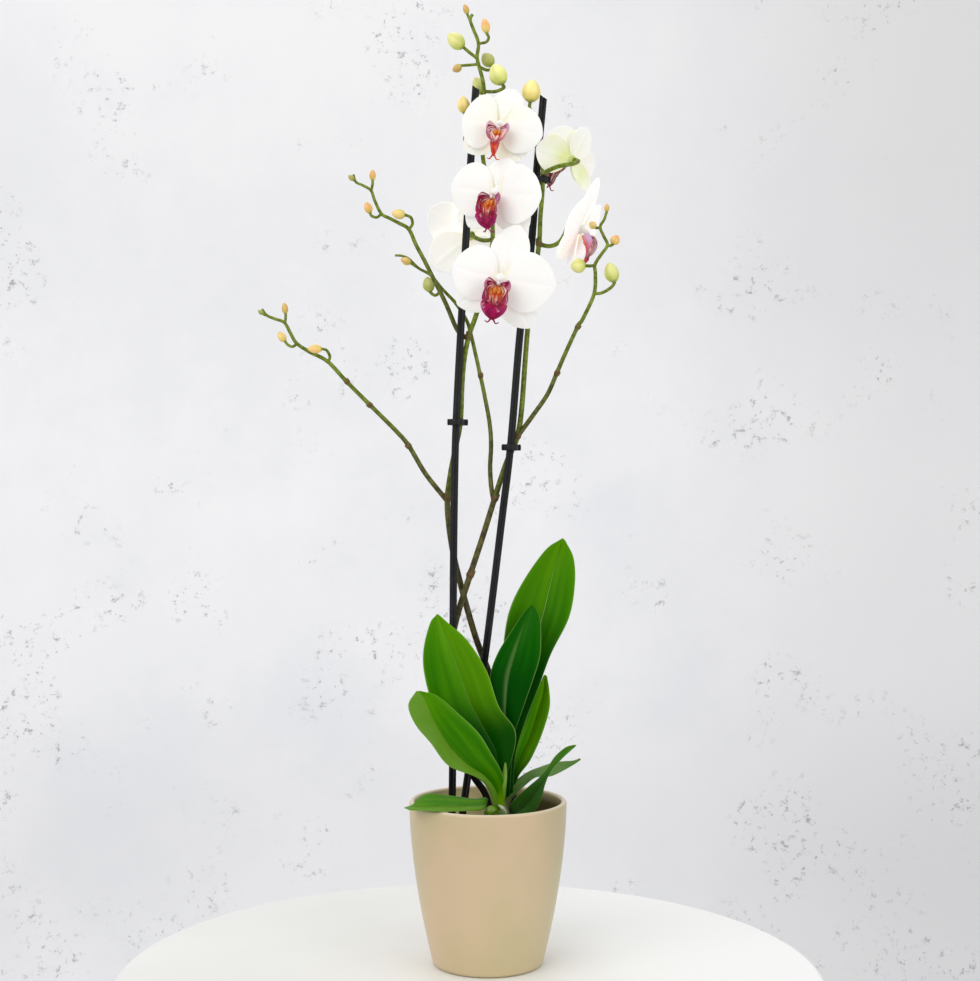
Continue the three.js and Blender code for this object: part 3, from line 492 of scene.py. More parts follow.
# %% Grow pot
GROW_FOOT, GROW_HEIGHT, GROW_FOOT_RADIUS, GROW_RIM_RADIUS = 8.35, 96.0, 37.0, 53.0
GROW_WALL, GROW_LIP = 1.2, 2.4
GROW_TURNS, GROW_CREASE = 96, 40


def grow_radius(z, inset=0.0):
    """The grow pot's radius at a height, less an inset."""
    return GROW_FOOT_RADIUS + (GROW_RIM_RADIUS - GROW_FOOT_RADIUS) * (z - GROW_FOOT) / GROW_HEIGHT - inset


grow_top = GROW_FOOT + GROW_HEIGHT
grow_lip = grow_radius(grow_top) + GROW_LIP
grow_floor = GROW_FOOT + GROW_WALL
grow_profile = [
    (0, GROW_FOOT), (grow_radius(GROW_FOOT) - 1, GROW_FOOT), (grow_radius(GROW_FOOT), GROW_FOOT + 1),
    (grow_radius(grow_top - 4), grow_top - 4), (grow_lip, grow_top - 3.6), (grow_lip, grow_top - 0.4),
    (grow_lip - 0.4, grow_top), (grow_radius(grow_top, GROW_WALL), grow_top),
    (grow_radius(grow_floor, GROW_WALL), grow_floor), (0, grow_floor),
]
dark_plastic = new_finish("grow_pot_plastic", Roughness=0.4)
feed(mixed(clouds(60, 0.45, 0.7, detail=4), screen(44, 38, 30), screen(66, 58, 46)), grain(400, 0.04))
make_piece("grow_cup", [lathe(grow_profile, GROW_TURNS)], [dark_plastic], "grow_pot", GROW_CREASE)

# %% Bark
BARK_TOP, BARK_CREST, BARK_GAP, BARK_CREASE = 101.0, 3.0, 0.55, 38
CHIPS, CHIP_ROWS, CHIP_SIDES, CHIP_SIZE, CHIP_SEED = 150, 5, 8, np.array([8.5, 5.0, 2.4]), 11
draw = np.random.default_rng(CHIP_SEED)


def bark_mound():
    """A low dome over a plug that fills the grow pot: the height falls from the middle as 1 - r^2."""
    bottom = grow_floor + 0.35
    reach = grow_radius(BARK_TOP, GROW_WALL + BARK_GAP)
    dome = [(reach * r, BARK_TOP - 2 + (BARK_CREST + 1) * (1 - r**2)) for r in np.linspace(1, 0, 14)]
    return lathe([(0, bottom), (grow_radius(bottom, GROW_WALL + BARK_GAP), bottom)] + dome, 48)


def chip(k):
    """A box with bulged sides: a ball whose coordinates are raised to the power 0.4, then stretched,
    bent by the square of its length, turned and laid on the dome."""
    polar = np.linspace(-np.pi / 2, np.pi / 2, CHIP_ROWS)[:, None]
    angle = ring_angles(CHIP_SIDES) + np.pi / CHIP_SIDES
    globe = np.stack([np.cos(polar) * np.cos(angle), np.cos(polar) * np.sin(angle),
                      np.broadcast_to(np.sin(polar), (CHIP_ROWS, CHIP_SIDES))], -1)
    box = np.sign(globe) * np.abs(globe) ** 0.4 * draw.uniform(0.75, 1.1, (CHIP_ROWS, CHIP_SIDES, 1))
    box[0], box[-1] = box[0].mean(0), box[-1].mean(0)
    box = box * draw.uniform(0.8, 1.3) * CHIP_SIZE
    box[..., 2] += draw.uniform(-0.03, 0.03) * box[..., 0] ** 2
    tilt, spin = draw.uniform(-0.5, 0.5), draw.uniform(0, 2 * np.pi)
    box = box @ turned_about("y", tilt).T @ turned_about("z", spin).T
    reach = grow_radius(BARK_TOP, GROW_WALL + 9)
    radius, angle = reach * math.sqrt((k + 0.5) / CHIPS), k * math.pi * (3 - math.sqrt(5))
    height = BARK_TOP + BARK_CREST * (1 - (radius / reach) ** 2) + draw.uniform(-1.5, 2.2)
    spot = np.array([radius * math.cos(angle), radius * math.sin(angle), height])
    return weld(sheet(box + spot, {"tone": draw.uniform()}, wrap=True))


bark = new_finish("bark_chips", Roughness=0.85)
toned = mixed(mark("tone"), screen(48, 31, 20), screen(122, 82, 52))
fibres = clouds(420, 0.4, 0.62, 0.0, 0.7, detail=5, roughness=0.7)
feed(mixed(fibres, toned, screen(34, 22, 15)), grain(520, 0.5))
bark_parts = [bark_mound()] + [chip(k) for k in range(CHIPS)]
make_piece("bark_filling", bark_parts, [bark], "bark", BARK_CREASE)

# %% [markdown]
# ## The crown and its roots
# The leaves grow from a short upright stem that their bases wrap in layers, so the crown shows blunt
# vertical folds and one bright ridge at the front. Thick roots leave it and arch into the bark. They
# are green where they are damp and silvery where the skin has dried.

# %% Crown
CROWN_AT, CROWN_BOTTOM, CROWN_TOP, CROWN_RADIUS = (11.0, -2.0), 88.0, 140.0, 9.0
CROWN_ROWS, CROWN_SIDES, ROOT_SIDES = 60, 72, 16
ROOTS = [
    [(12, -6, 112), (17, -16, 112), (22, -25, 108), (25, -31, 99)],
    [(6, -6, 110), (-6, -12, 111), (-16, -19, 107), (-22, -24, 98)],
    [(16, 4, 108), (28, 12, 108), (36, 20, 105), (40, 26, 97)],
    [(8, 4, 104), (-2, 16, 106.5), (-8, 26, 105), (-12, 32, 97)],
]
SHEATH = [
    ([(13.2, -15.2, 137), (13.3, -16, 150), (13.9, -13.8, 160), (14.4, -12.2, 169)], 2.3, 1.0, 0.0),
    ([(-2.5, -15, 125), (2, -17.5, 129.5), (8, -16, 130)], 4.2, 0.6, 0.0),
    ([(8.5, -17, 134.5), (12.5, -18.5, 131.5), (16, -18.5, 126)], 1.7, 0.0, 0.9),
]


def crown_body():
    """A tube whose radius follows the solid's, with folds as cosines of the angle."""
    share = np.linspace(0, 1, CROWN_ROWS)
    path = np.stack([0 * share + CROWN_AT[0], 0 * share + CROWN_AT[1],
                     CROWN_BOTTOM + share * (CROWN_TOP - CROWN_BOTTOM)], -1)
    angle = ring_angles(CROWN_SIDES)
    plain = CROWN_RADIUS * (0.62 + 0.38 * np.sin(np.pi * np.minimum(1, share * 1.25)))
    plain = (plain * np.where(share > 0.75, 1 - (share - 0.75) * 2.4, 1))[:, None]
    share = share[:, None]
    folds = 1 + 0.05 * np.cos(5 * angle + 4 * share) + 0.025 * np.cos(9 * angle - 2 * share)
    flat = np.tile(np.eye(3)[:2, None], (1, CROWN_ROWS, 1))
    marks = {"along": share[:, 0], "across": np.cos(3 * angle) + 0 * share}
    return tube(path, plain * folds, CROWN_SIDES, marks, tuple(flat))


def root(points, k):
    """A root: a tube that thins a little, with slow swellings along it."""
    share = np.linspace(0, 1, 40)
    radii = 2.4 - 0.5 * share + 0.16 * np.sin(18 * share + k) + 0.1 * np.sin(31 * share)
    return tube(spline(points, share), radii, ROOT_SIDES, {"along": share, "dry": smooth(share, 0.15, 0.7)})


def sheath(points, radius, along, dry):
    """What shows in front of the crown: the bright keel of a leaf's sheath, the stub of an old leaf or a
    short dry root. Each is a tube whose radius is a sine of its length, fuller in the middle."""
    share = np.linspace(0, 1, 30)
    marks = {"along": along, "across": 0.5, "dry": dry}
    return tube(spline(points, share), radius * (0.25 + 0.75 * np.sin(np.pi * share)), ROOT_SIDES, marks)


crown_skin = new_finish("crown_skin", Roughness=0.4)
bright = mixed(ramped(streaks(5, 1.5), 0.35, 0.65), linear(0.07, 0.19, 0), linear(0.17, 0.34, 0.012))
shaded = mixed(ramped(mark("along"), 0.15, 0.75), screen(120, 132, 60), bright)
silvery = mixed(clouds(300, 0.4, 0.6), screen(150, 154, 128), screen(188, 190, 172))
feed(mixed(mark("dry"), shaded, silvery), grain(300, 0.12))
crown_parts = [crown_body(), *(sheath(*shape) for shape in SHEATH)]
crown_parts += [root(points, k) for k, points in enumerate(ROOTS)]
make_piece("crown_and_roots", crown_parts, [crown_skin], "crown")

# %% [markdown]
# ## The leaves
# A moth orchid's leaf is thick, folded along its midrib and glossy. Three curves from root to tip hold
# it: the left edge, the midrib and the right edge. Each half runs from the midrib to its edge with a
# little swell, and the midrib is rounded by a root of u^2 + c^2, so that the fold catches the light as
# the real one does. The numbers ahead of the curves say how yellow and how grey a leaf is (on the low
# left leaf the grey lies on its left half only, as a painted sheen), which half is lighter with a painted
# sheen (the right one below 0), how far up painted shade darkens it from the base, and how plainly its
# midrib shows.

# %% Leaf shapes
LEAVES = {
    "leaf_centre_right": (
        (0.05, 0, 0, 0.7, 0.5),
        [(11, -5, 140), (9, -6, 165), (7, -8, 193), (3, -10, 218), (2, -12, 241), (8, -13, 259), (18, -12, 275),
         (28, -9, 290), (35, -6.5, 297)],
        [(15, -3, 137), (15, -3, 165), (15, -4, 190), (15, -6, 215), (17, -7, 238), (22, -8, 257),
         (27, -8, 272), (33, -7, 288), (36, -6, 298)],
        [(18, -4, 140), (20, -5, 169), (22, -6, 190), (29, -8, 212), (37, -10, 235), (43, -11, 255),
         (44, -11, 272), (43, -9, 288), (38, -6.5, 297)]),
    "leaf_tall_right": (
        (0.7, 0, 0.2, 0.68, 0.9),
        [(14, 1, 142), (14, 2, 168), (13, 3, 201), (13, 4, 235), (13, 5, 264), (18, 6, 293), (30, 7, 318),
         (48, 9, 343), (61, 11.5, 352)],
        [(18, 2, 139), (19, 4, 166), (23, 7, 199), (31, 10, 230), (39, 13, 260), (47, 15, 291), (54, 15, 320),
         (60, 14, 342), (63, 12, 353)],
        [(21, 1, 142), (23, 2, 172), (31, 4, 199), (42, 5, 227), (53, 8, 256), (68, 9, 286), (73, 9, 314),
         (72, 10, 336), (65, 11.5, 351)]),
    "leaf_tall_left": (
        (0.8, 0, -0.4, 0.6, 0.3),
        [(7, -9, 137), (3, -11, 150), (-8, -14, 166), (-27, -17, 186), (-44, -20, 214), (-52, -21, 241),
         (-53, -20, 262), (-48, -16, 283), (-43, -12, 290)],
        [(11, -7, 134), (11, -9, 153), (7, -11, 177), (-3, -13, 196), (-14, -15, 217), (-24, -16, 244),
         (-32, -15, 267), (-38, -13, 283), (-42, -11, 291)],
        [(15, -8, 137), (16, -11, 158), (22, -14, 180), (22, -17, 197), (9, -20, 216), (-1, -21, 245),
         (-17, -19, 270), (-34, -15, 285), (-40, -12, 290)]),
    "leaf_low_left": (
        (0.7, 0.4, 1, 0, 0.15),
        [(5, -14, 131), (0, -21, 148), (-10, -32, 160), (-32, -42, 171), (-46, -47, 190), (-58, -49, 205),
         (-64, -46, 220), (-58, -41, 231)],
        [(8, -12, 129), (6, -16, 146), (-3, -23, 159), (-18, -30, 171), (-33, -35, 188), (-44, -38, 207),
         (-51, -39, 224), (-56, -40, 231)],
        [(13, -14.5, 131), (14, -16, 149), (11, -21, 163), (3, -27, 178), (-8, -31, 196), (-25, -35, 213),
         (-41, -38, 227), (-54, -41, 231)]),
    "leaf_low_right": (
        (0.95, 0, -0.35, 0.4, 0.2),
        [(15, 5, 138), (16, 7, 155), (19, 10, 172), (25, 13, 191), (32, 16, 208), (41, 19, 223), (47, 21, 236)],
        [(18, 6, 136), (21, 10, 152), (27, 15, 168), (36, 19, 187), (42, 22, 205), (47, 23, 223),
         (48, 22, 237)],
        [(21, 5, 141), (26, 7, 154), (36, 11, 167), (46, 14, 189), (52, 17, 209), (52, 19, 223),
         (50, 21, 236)]),
    "leaf_back_right": (
        (0.4, 1, 0.6, 0, 0.5),
        [(15, 4, 144), (21, 9, 148), (34, 14, 156), (45, 18, 160), (55, 20, 163), (63, 18, 164), (72, 14, 165),
         (77, 11.5, 168)],
        [(17, 2, 137), (22, 4, 143), (33, 7, 150), (43, 10, 156), (54, 12, 159), (64, 12, 162), (72, 12, 165),
         (78, 11, 167)],
        [(18, 0, 131), (21, 0, 138), (30, 1, 146), (40, 3, 153), (52, 5, 154), (62, 7, 158), (72, 9, 163),
         (78, 10.5, 167)]),
    "leaf_front_right": (
        (0.35, 0.3, 0.1, 0.65, 0.5),
        [(17, -7, 131), (23, -11, 139), (33, -16, 149), (42, -18, 157), (48, -18, 164), (55, -16, 174),
         (64, -13, 181), (72, -11, 183)],
        [(22, -6, 125), (31, -9, 132), (39, -13, 143), (44, -15, 151), (50, -15, 161), (59, -13.5, 172),
         (66, -11.5, 179), (73, -10, 182)],
        [(26, -9, 117), (37, -13, 126), (44, -17, 139), (47, -18, 151), (52, -17, 162), (61, -15, 172),
         (68, -12.5, 178), (72, -10.5, 181)]),
    "leaf_over_rim": (
        (0.95, 0.4, 1, 0.15, 0.2),
        [(-2, -16, 132), (-6, -28, 132), (-16, -40, 134), (-26, -48, 135), (-37, -53, 136), (-48, -53, 137),
         (-58, -47, 136), (-64, -40, 135), (-67, -33, 135)],
        [(-1, -13, 135), (-6, -21, 134), (-15, -29, 135), (-26, -35, 136), (-36, -39, 137), (-46, -41, 137),
         (-55, -40, 137), (-62, -36.5, 136), (-68, -32.5, 135)],
        [(0, -10, 138), (-3, -14, 140), (-11, -19, 140), (-21, -23, 142), (-34, -27, 144), (-46, -30, 146),
         (-54, -33, 145), (-61, -34, 138), (-67, -32, 135)]),
}
LEAF_EDGE, LEAF_MIDDLE, LEAF_SWELL, LEAF_WAVE, RIB_ROUND = 1.1, 2.2, 0.2, 0.5, 0.05
LEAF_ROWS, LEAF_COLUMNS = 96, 49


def leaf(name):
    """The leaf's middle surface: midrib + w (edge - midrib) + swell w (1 - w) along the normal, where
    w = sqrt(u^2 + c^2) - c, scaled to 1 at the edge. A slow wave lifts the edges."""
    (tone, grey, bright, dark, keel), *curves = LEAVES[name]
    t, u = np.broadcast_arrays(eased(LEAF_ROWS)[:, None], across_shares(LEAF_COLUMNS))
    left, rib, right = (spline(curve, t) for curve in curves)
    w = (np.sqrt(u**2 + RIB_ROUND**2) - RIB_ROUND) / (math.sqrt(1 + RIB_ROUND**2) - RIB_ROUND)
    half = np.where((u < 0)[..., None], left, right) - rib
    normal = unit(np.cross(right - left, np.gradient(rib, axis=0)))
    lift = LEAF_SWELL * np.linalg.norm(half, axis=-1) * w * (1 - w)
    lift = lift + LEAF_WAVE * w**3 * np.sin(9 * t + 2.5 * u + len(name)) * np.sin(np.pi * t)
    points = rib + half * w[..., None] + normal * lift[..., None]
    thickness = LEAF_EDGE + (LEAF_MIDDLE - LEAF_EDGE) * (1 - u**2) * (1.25 - t)
    shine = np.exp(-(((u + 0.15) / 0.11) ** 2)) * smooth(t, 0.2, 0.4) * smooth(1 - t, 0.1, 0.35)
    low_left = name == "leaf_low_left"
    # Painted light and shade among these marks: one half lighter with a painted sheen, painted shade up from
    # the base, and on the low left leaf a painted grey sheen on its left half.
    marks = {"along": t, "across": u, "tone": tone, "keel": keel, "dark": 0.95 * smooth(dark - t, 0, 0.26),
             "grey": grey * smooth(-u, -0.1, 0.15) if low_left else grey,
             "bright": abs(bright) * smooth(-u * np.sign(bright), -0.1, 0.15),
             "shine": shine * (name == "leaf_centre_right"), "sheath": smooth(0.16 - t, 0, 0.1) * low_left}
    return blade(points, thickness, marks)

# %% [markdown]
# The green isn't one green. It drifts in broad streaks, is darker towards the base with painted shade,
# and yellower towards the edge and the tip. Fine streaks follow the veins, the midrib is a paler line,
# the rim is a thin bright thread, and the underside is dull and greyish. One half of some leaves is
# lighter with a painted sheen, and a narrow band beside the centre right leaf's midrib is a painted
# reflection. A low specular level keeps the white room from washing it out.

# %% Leaf finish
leaf_skin = new_finish("leaf_skin", Roughness=0.3, Specular_IOR_Level=0.05)
tone, aside = mark("tone"), sums("ABSOLUTE", mark("across"))
deep = mixed(tone, linear(0, 0.07, 0), linear(0.025, 0.17, 0))
lit = mixed(tone, linear(0.004, 0.12, 0), linear(0.1, 0.31, 0))
greyish = mixed(clouds(40, 0.3, 0.7), linear(0.16, 0.27, 0.09), linear(0.09, 0.19, 0.035))
# the grey of a leaf and of its underside, and on the low left leaf's left half a painted grey sheen
dull = sums("MAXIMUM", mark("grey"), times(mark("under"), 0.65))
veins = ramped(streaks(13, 1.2), 0.3, 0.7)
green = layered(
    mixed(ramped(streaks(2.2, 0.9, 4), 0.3, 0.7), deep, lit),
    (times(veins, 0.18), lit),
    # painted sheen: one half of the leaf lighter, as if lit
    (times(mark("bright"), 0.7), linear(0.15, 0.33, 0.002)),
    (times(ramped(mark("along"), 0.6, 1, 0, 0.6), tone), linear(0.12, 0.33, 0)),
    # painted shade: darker green up from the base
    (mark("dark"), linear(0, 0.055, 0)),
    (times(mark("shine"), 0.8), linear(0.1, 0.2, 0.05)),
    (mark("sheath"), linear(0.12, 0.28, 0)),
    (times(ramped(aside, 0.01, 0.04, 1, 0), mark("keel")), linear(0.28, 0.46, 0.14)),
    (ramped(aside, 0.955, 0.99, 0, 0.5), linear(0.25, 0.42, 0.1)),
    (times(dull, 0.8), greyish))
feed(green, ridged(veins, 0.06, grain(500, 0.03)))
for name in LEAVES:
    make_piece(name + "_blade", [leaf(name)], [leaf_skin], name)

# %% [markdown]
# ## Stakes and clips
# The stakes are extruded black plastic, flat with a groove down the front and back, pushed through the
# bark to the bottom of the pot and bowed a little by the flowers' weight. Their tops were snipped at a
# slant. Clips of the same plastic hold stem and stake together.

# %% Stakes
STAKES = {
    "left": [(-31, 17, 26), (-30.5, 12, 100), (-29.5, 7, 180), (-29, 2.5, 300), (-28, 0, 390), (-26.5, 0, 450),
        (-23, 0, 520), (-18.5, 0, 600), (-14.2, 0, 670), (-10, 0, 730)],
    "right": [(-30, 1, 58), (-17.5, 4, 150), (-3, 5, 250), (11.5, 3, 368), (19, 0.5, 432), (27, 0, 527),
        (36, 1, 596), (41, 2.5, 664), (46.5, 3, 723)],
}
STAKE_WIDTH, STAKE_DEPTH, STAKE_GROOVE, SNIP = 6.2, 4.6, 1.1, 0.55
STAKE_ROWS, STAKE_SIDES, STAKE_CREASE = 90, 48, 50


def bar_section(angle):
    """The two coordinates of a rounded bar's outline, |x|^4 + |y|^4 = 1, at angles round it."""
    return (np.sign(part) * np.abs(part) ** 0.5 for part in (np.cos(angle), np.sin(angle)))


def stake(points):
    """A rounded bar, pulled in at the middle of each face by a bell curve and carried along the stake's
    curve. The last rings are sheared by the snip."""
    share = np.linspace(0, 1, STAKE_ROWS)
    path = spline(points, share)
    tangent = unit(np.gradient(path, axis=0))[:, None]
    side = unit(np.cross(np.array([0, 1.0, 0]), tangent))
    x, y = bar_section(ring_angles(STAKE_SIDES)[:, None])
    y = y * (1 - STAKE_GROOVE / (STAKE_DEPTH / 2) * np.exp(-((x / 0.3) ** 2))) * STAKE_DEPTH / 2
    x = x * STAKE_WIDTH / 2
    rings = path[:, None] + x * side + y * np.cross(tangent, side)
    return closed(rings - smooth(share, 0.96, 1)[:, None, None] * SNIP * (x + STAKE_WIDTH / 2) * tangent)


black_plastic = new_finish("black_plastic", Roughness=0.5, Specular_IOR_Level=0.3)
dust = clouds(90, 0.5, 0.75, 0, 0.5, detail=5, roughness=0.65)
feed(mixed(dust, screen(18, 18, 20), screen(46, 46, 49)), grain(700, 0.06))
for side, points in STAKES.items():
    make_piece("stake_bar_" + side, [stake(points)], [black_plastic], "stake_" + side,
               STAKE_CREASE)

# %% [markdown]
# ## The flower stems
# A spike is a tapered tube with a raised ring at each joint, and a dry little scale, a bract, that once
# covered a sleeping bud there. Buds hang on short footstalks on alternate sides, the oldest the largest
# and greenest, the youngest small and apricot. All of it grew as one, so one object holds it, with
# two finishes. A stem has a radius at either end, its joints and its points. A bud has its stalk's
# points, the egg's two ends and its radius, and how golden and how deeply green it is.

# %% Stem shapes
SPIKES = {
    "spike_left": (
        [(3.1, 1.3, [5, 11, 17], [(15, 3, 116), (20, 12, 124), (21, 20, 145), (20, 21, 170), (14, 19, 198),
          (7, 17, 222), (-0.5, 16, 243), (-10, 16, 268), (-21, 16, 306), (-29, 13, 339), (-33, 10.5, 366),
          (-34, 10, 386), (-31.5, 9, 406), (-27, 7.5, 430), (-23.2, 6.2, 450), (-21.8, 5.2, 480),
          (-20, 5.1, 502), (-16.3, 4, 521), (-10, 2, 539), (-3.5, 2, 560), (1.5, 2, 583), (4, 2, 606),
          (2, 2, 632), (-3, 2, 662), (-5.5, 2, 690), (-3.4, 1, 720), (-4, 0, 733), (-7, 0, 745), (-9, 0, 754),
          (-8, 0, 766), (-12.5, -1, 778), (-14.8, -1, 785), (-13, -1, 789.5)]),
         (2.2, 1.1, [3, 5, 6], [(-33, 10, 383), (-39, 9, 390), (-53, 7, 408), (-66, 4, 430), (-76, 2, 442),
          (-98, -1, 464), (-117, -3, 483), (-133, -5, 500), (-148, -6, 508), (-158.5, -7, 515),
          (-163.5, -7, 523), (-168.5, -8, 532), (-176, -8, 535), (-183, -9, 538), (-187, -9, 543)]),
         (2.1, 1, [], [(-17, 4.2, 520), (-22, 6.8, 523.5), (-27, 7, 530), (-35.5, 6, 550), (-44.5, 5, 568),
          (-53, 4, 585), (-60, 3, 598), (-66, 2, 611), (-74, 2, 616), (-82, 1, 620), (-89, 1, 624),
          (-94.5, 0, 635), (-97.5, 0, 643), (-104, -1, 647), (-110, -1, 650), (-112, -1, 656)])],
        [([(-14.8, -1, 784), (-16.5, -1, 788)], (-17, -1, 789.5), (-19.6, -1, 798), 2.6, 1, 0.4),
         ([(-7.5, 0, 765), (-1.5, -1, 766.5), (0.6, -2, 770)], (-0.8, -2, 773), (-3.2, -2, 786), 3.7, 1, 0),
         ([(-9, 0, 753), (-15, -1, 757.5)], (-20, -2, 761.5), (-33.5, -4, 772), 6.8, 0, 0.15),
         ([(-9, 0, 748), (-16, -2, 747)], (-22, -3, 746.3), (-29.4, -4, 741.5), 3.5, 1, 0.5),
         ([(-7, 0, 746), (-1, 6, 745), (4, 9, 747)], (3.6, 9, 749), (-4, 10, 760), 5.6, 0.15, 0.7),
         ([(-3, 0, 726), (6, -4, 724.5), (13, -6, 727)], (12.4, -6, 729.5), (4.4, -6, 746.5), 7.8, 0, 0),
         ([(-3.5, 1, 722), (-4, 8, 724)], (-4.5, 9, 725.5), (-11, 10, 740), 5.4, 0, 0.3),
         ([(-5.5, 2, 694), (-9, 8, 697), (-16, 9, 703)], (-19.4, 8, 709), (-21.2, 7, 723.5), 5.4, 0.65, 0),
         ([(-132.5, -5, 499.5), (-131, -7, 504), (-133.5, -9, 509)], (-137, -10, 510), (-149, -11, 510), 3.8,
          0.8, 0),
         ([(-158, -7, 514.5), (-162, -9, 512), (-166, -10, 514)], (-167.5, -10, 516), (-173.5, -10, 524), 3.4,
          0.75, 0.1),
         ([(-168.5, -8, 531.5), (-167.5, -8.5, 536)], (-167.5, -9, 539), (-168.8, -9, 548.5), 2.8, 0.9, 0.35),
         ([(-183, -9, 538), (-185, -10, 538.5)], (-185.5, -10, 539), (-190, -10, 542), 2.1, 0.1, 0.9),
         ([(-66, 2, 611), (-63, 0, 615), (-64, -2, 620)], (-68.5, -3, 622), (-80, -4, 623.5), 4.3, 0.7, 0.1),
         ([(-89, 1, 623.5), (-92.5, -1, 620.5), (-96.5, -2, 621.3)], (-98, -2, 623.5), (-101.4, -2, 633), 3.5,
          1, 0.1),
         ([(-97.5, 0, 642.5), (-96.2, 0, 648)], (-96.1, 0, 651), (-96, 0, 660.5), 2.8, 0.95, 0.2),
         ([(-109.5, -1, 650), (-111, -2, 651)], (-111.5, -2, 651.3), (-116, -3, 655), 2.3, 0.5, 0.8)],
        [("bloom_top", [(-5.4, 2, 676), (0, 0.6, 677.5), (6, -1, 681), (9.5, -4, 687)]),
         ("bloom_middle", [(3, 2, 617), (6, 0, 618.5), (9.8, -4, 624), (10.8, -11, 632)]),
         ("bloom_low", [(-4, 2, 556), (0, -1, 554.5), (5, -6, 555.5), (9.4, -15, 561)]),
         ("bloom_back_left", [(4, 2, 603), (1, 6, 602.6), (-5, 12, 603.5), (-11.5, 17, 607)])]),
    "spike_right": (
        [(3.1, 1.6, [8, 10, 12, 17], [(7, 3, 116), (2, 11, 125), (-3, 14.5, 139), (-13, 15, 153.5),
          (-24, 15, 178), (-33, 13, 210), (-34.5, 11, 242), (-27, 9, 283), (-15, 8, 322), (-4.5, 8, 354),
          (5.5, 8, 386), (15, 7.5, 415), (24.5, 6, 438), (28.2, 5.5, 462), (31, 4.5, 500), (33.4, 3, 530),
          (37, 1, 558), (42.5, -0.5, 598), (43.6, -2.5, 620), (45.5, -4.5, 645), (45.2, -5, 664),
          (42.5, -5, 680), (37, -4, 696), (34.7, -3, 711)]),
         (2.1, 1, [6], [(5, 8, 383), (2.8, 9, 396), (1.8, 10, 412), (2.6, 10, 432), (1.3, 10, 450),
          (-2.5, 11, 471), (-6.3, 11, 489), (-14.5, 12, 525), (-19, 12.5, 538), (-27.5, 13.5, 551),
          (-35, 14, 559), (-39.5, 14, 564), (-48, 13, 574), (-58.5, 11, 580), (-66, 9, 587), (-72, 8, 589.7),
          (-78, 7, 590)]),
         (2.1, 1.1, [4, 6], [(24.5, 6, 438), (29, 4, 444), (38.5, 1, 457), (49.5, -3, 473), (57, -5, 490),
          (62.5, -7, 503), (74, -10, 528), (78.5, -11, 535), (87.5, -13, 555), (88.6, -14, 571),
          (88.2, -14, 579), (93, -15, 587), (98.3, -16, 595), (95, -16, 603), (92.4, -16, 610),
          (95.7, -17, 616), (97.5, -17, 622)])],
        [([(37, -4, 696), (34.7, -3, 711)], (35, -3, 715.5), (37, -4, 734.5), 8, 0.5, 0),
         ([(-39, 14, 562), (-44, 14.5, 557.5)], (-48.5, 14.5, 560), (-51.5, 13.5, 573), 5.2, 0, 0.6),
         ([(-58.5, 11, 580), (-62, 9, 582)], (-64.5, 8, 583.5), (-73, 6, 587), 3.3, 0.85, 0.3),
         ([(87.5, -13, 555), (94, -14, 556), (101, -14, 560)], (104.4, -14, 564.5), (99.6, -13, 581), 6.3, 0,
          0.2),
         ([(88.2, -14, 578.5), (84, -15, 578)], (80.5, -16, 578), (67.8, -18, 577.5), 6.2, 0.1, 0.1),
         ([(98.3, -16, 595), (100.5, -16, 594.5)], (102.5, -16, 595.5), (107, -16, 603), 4.1, 0.95, 0.1),
         ([(92.4, -16, 609.6), (90.5, -17, 609)], (88.8, -17, 609.2), (83.4, -18, 613.4), 3.2, 0.8, 0.2),
         ([(97.5, -17, 620), (97.7, -17, 622)], (97.6, -17, 622), (98, -17, 629), 2.2, 0.9, 0.3)],
        [("bloom_right", [(43.3, -1, 598), (51, -1, 596.5), (58, 0, 599), (63, 1, 605)]),
         ("bloom_right_high", [(45.3, -5, 656), (49, -19, 655.5), (58, -23, 658.5), (70, -19, 661.5)])]),
}
STEM_STEPS, STEM_SIDES, STALK_SIDES = 14, 14, 10
JOINT_RAISE, JOINT_BELOW, JOINT_ABOVE = (1.0, 0.6), 1.3, 2.6
OLD_BELOW, OLD_FADE, SHADE_BELOW, SHADE_FADE = 490, 150, 215, 70
BRACT_HEIGHTS, BRACT_TURN, BRACT_GAP, BRACT_LEAN, BRACT_THICKNESS = (6.0, 3.6), 1.7, 0.6, 0.35, 0.5
BUD_ROWS, BUD_SIDES = 26, 24


def stem(thick, thin, joints, points, branch):
    """A smooth tube through the stem's points, with a bell curve at each joint that is steeper below,
    and the marks that say how brown it is, low down and at the root of a branch, and how far painted
    shade darkens it to nearly black near the bark."""
    t = np.linspace(0, 1, STEM_STEPS * (len(points) - 1) + 1)
    path = spline(points, t)
    length = arc_length(path)
    ring = np.zeros(len(t))
    for k in joints:
        distance = length - length[STEM_STEPS * k]
        bell = np.exp(-((distance / np.where(distance < 0, JOINT_BELOW, JOINT_ABOVE)) ** 2))
        ring = np.maximum(ring, bell)
    radii = thick + (thin - thick) * t + JOINT_RAISE[branch] * ring
    old, damp = (smooth(below - path[:, 2], 0, fade) for below, fade in (
        (OLD_BELOW, OLD_FADE), (SHADE_BELOW, SHADE_FADE)))
    old = np.maximum(old, 0.85 * branch * smooth(0.5 - t, 0, 0.42))
    return tube(path, radii, STEM_SIDES, {"along": length / 100, "ring": ring, "old": old, "damp": damp})


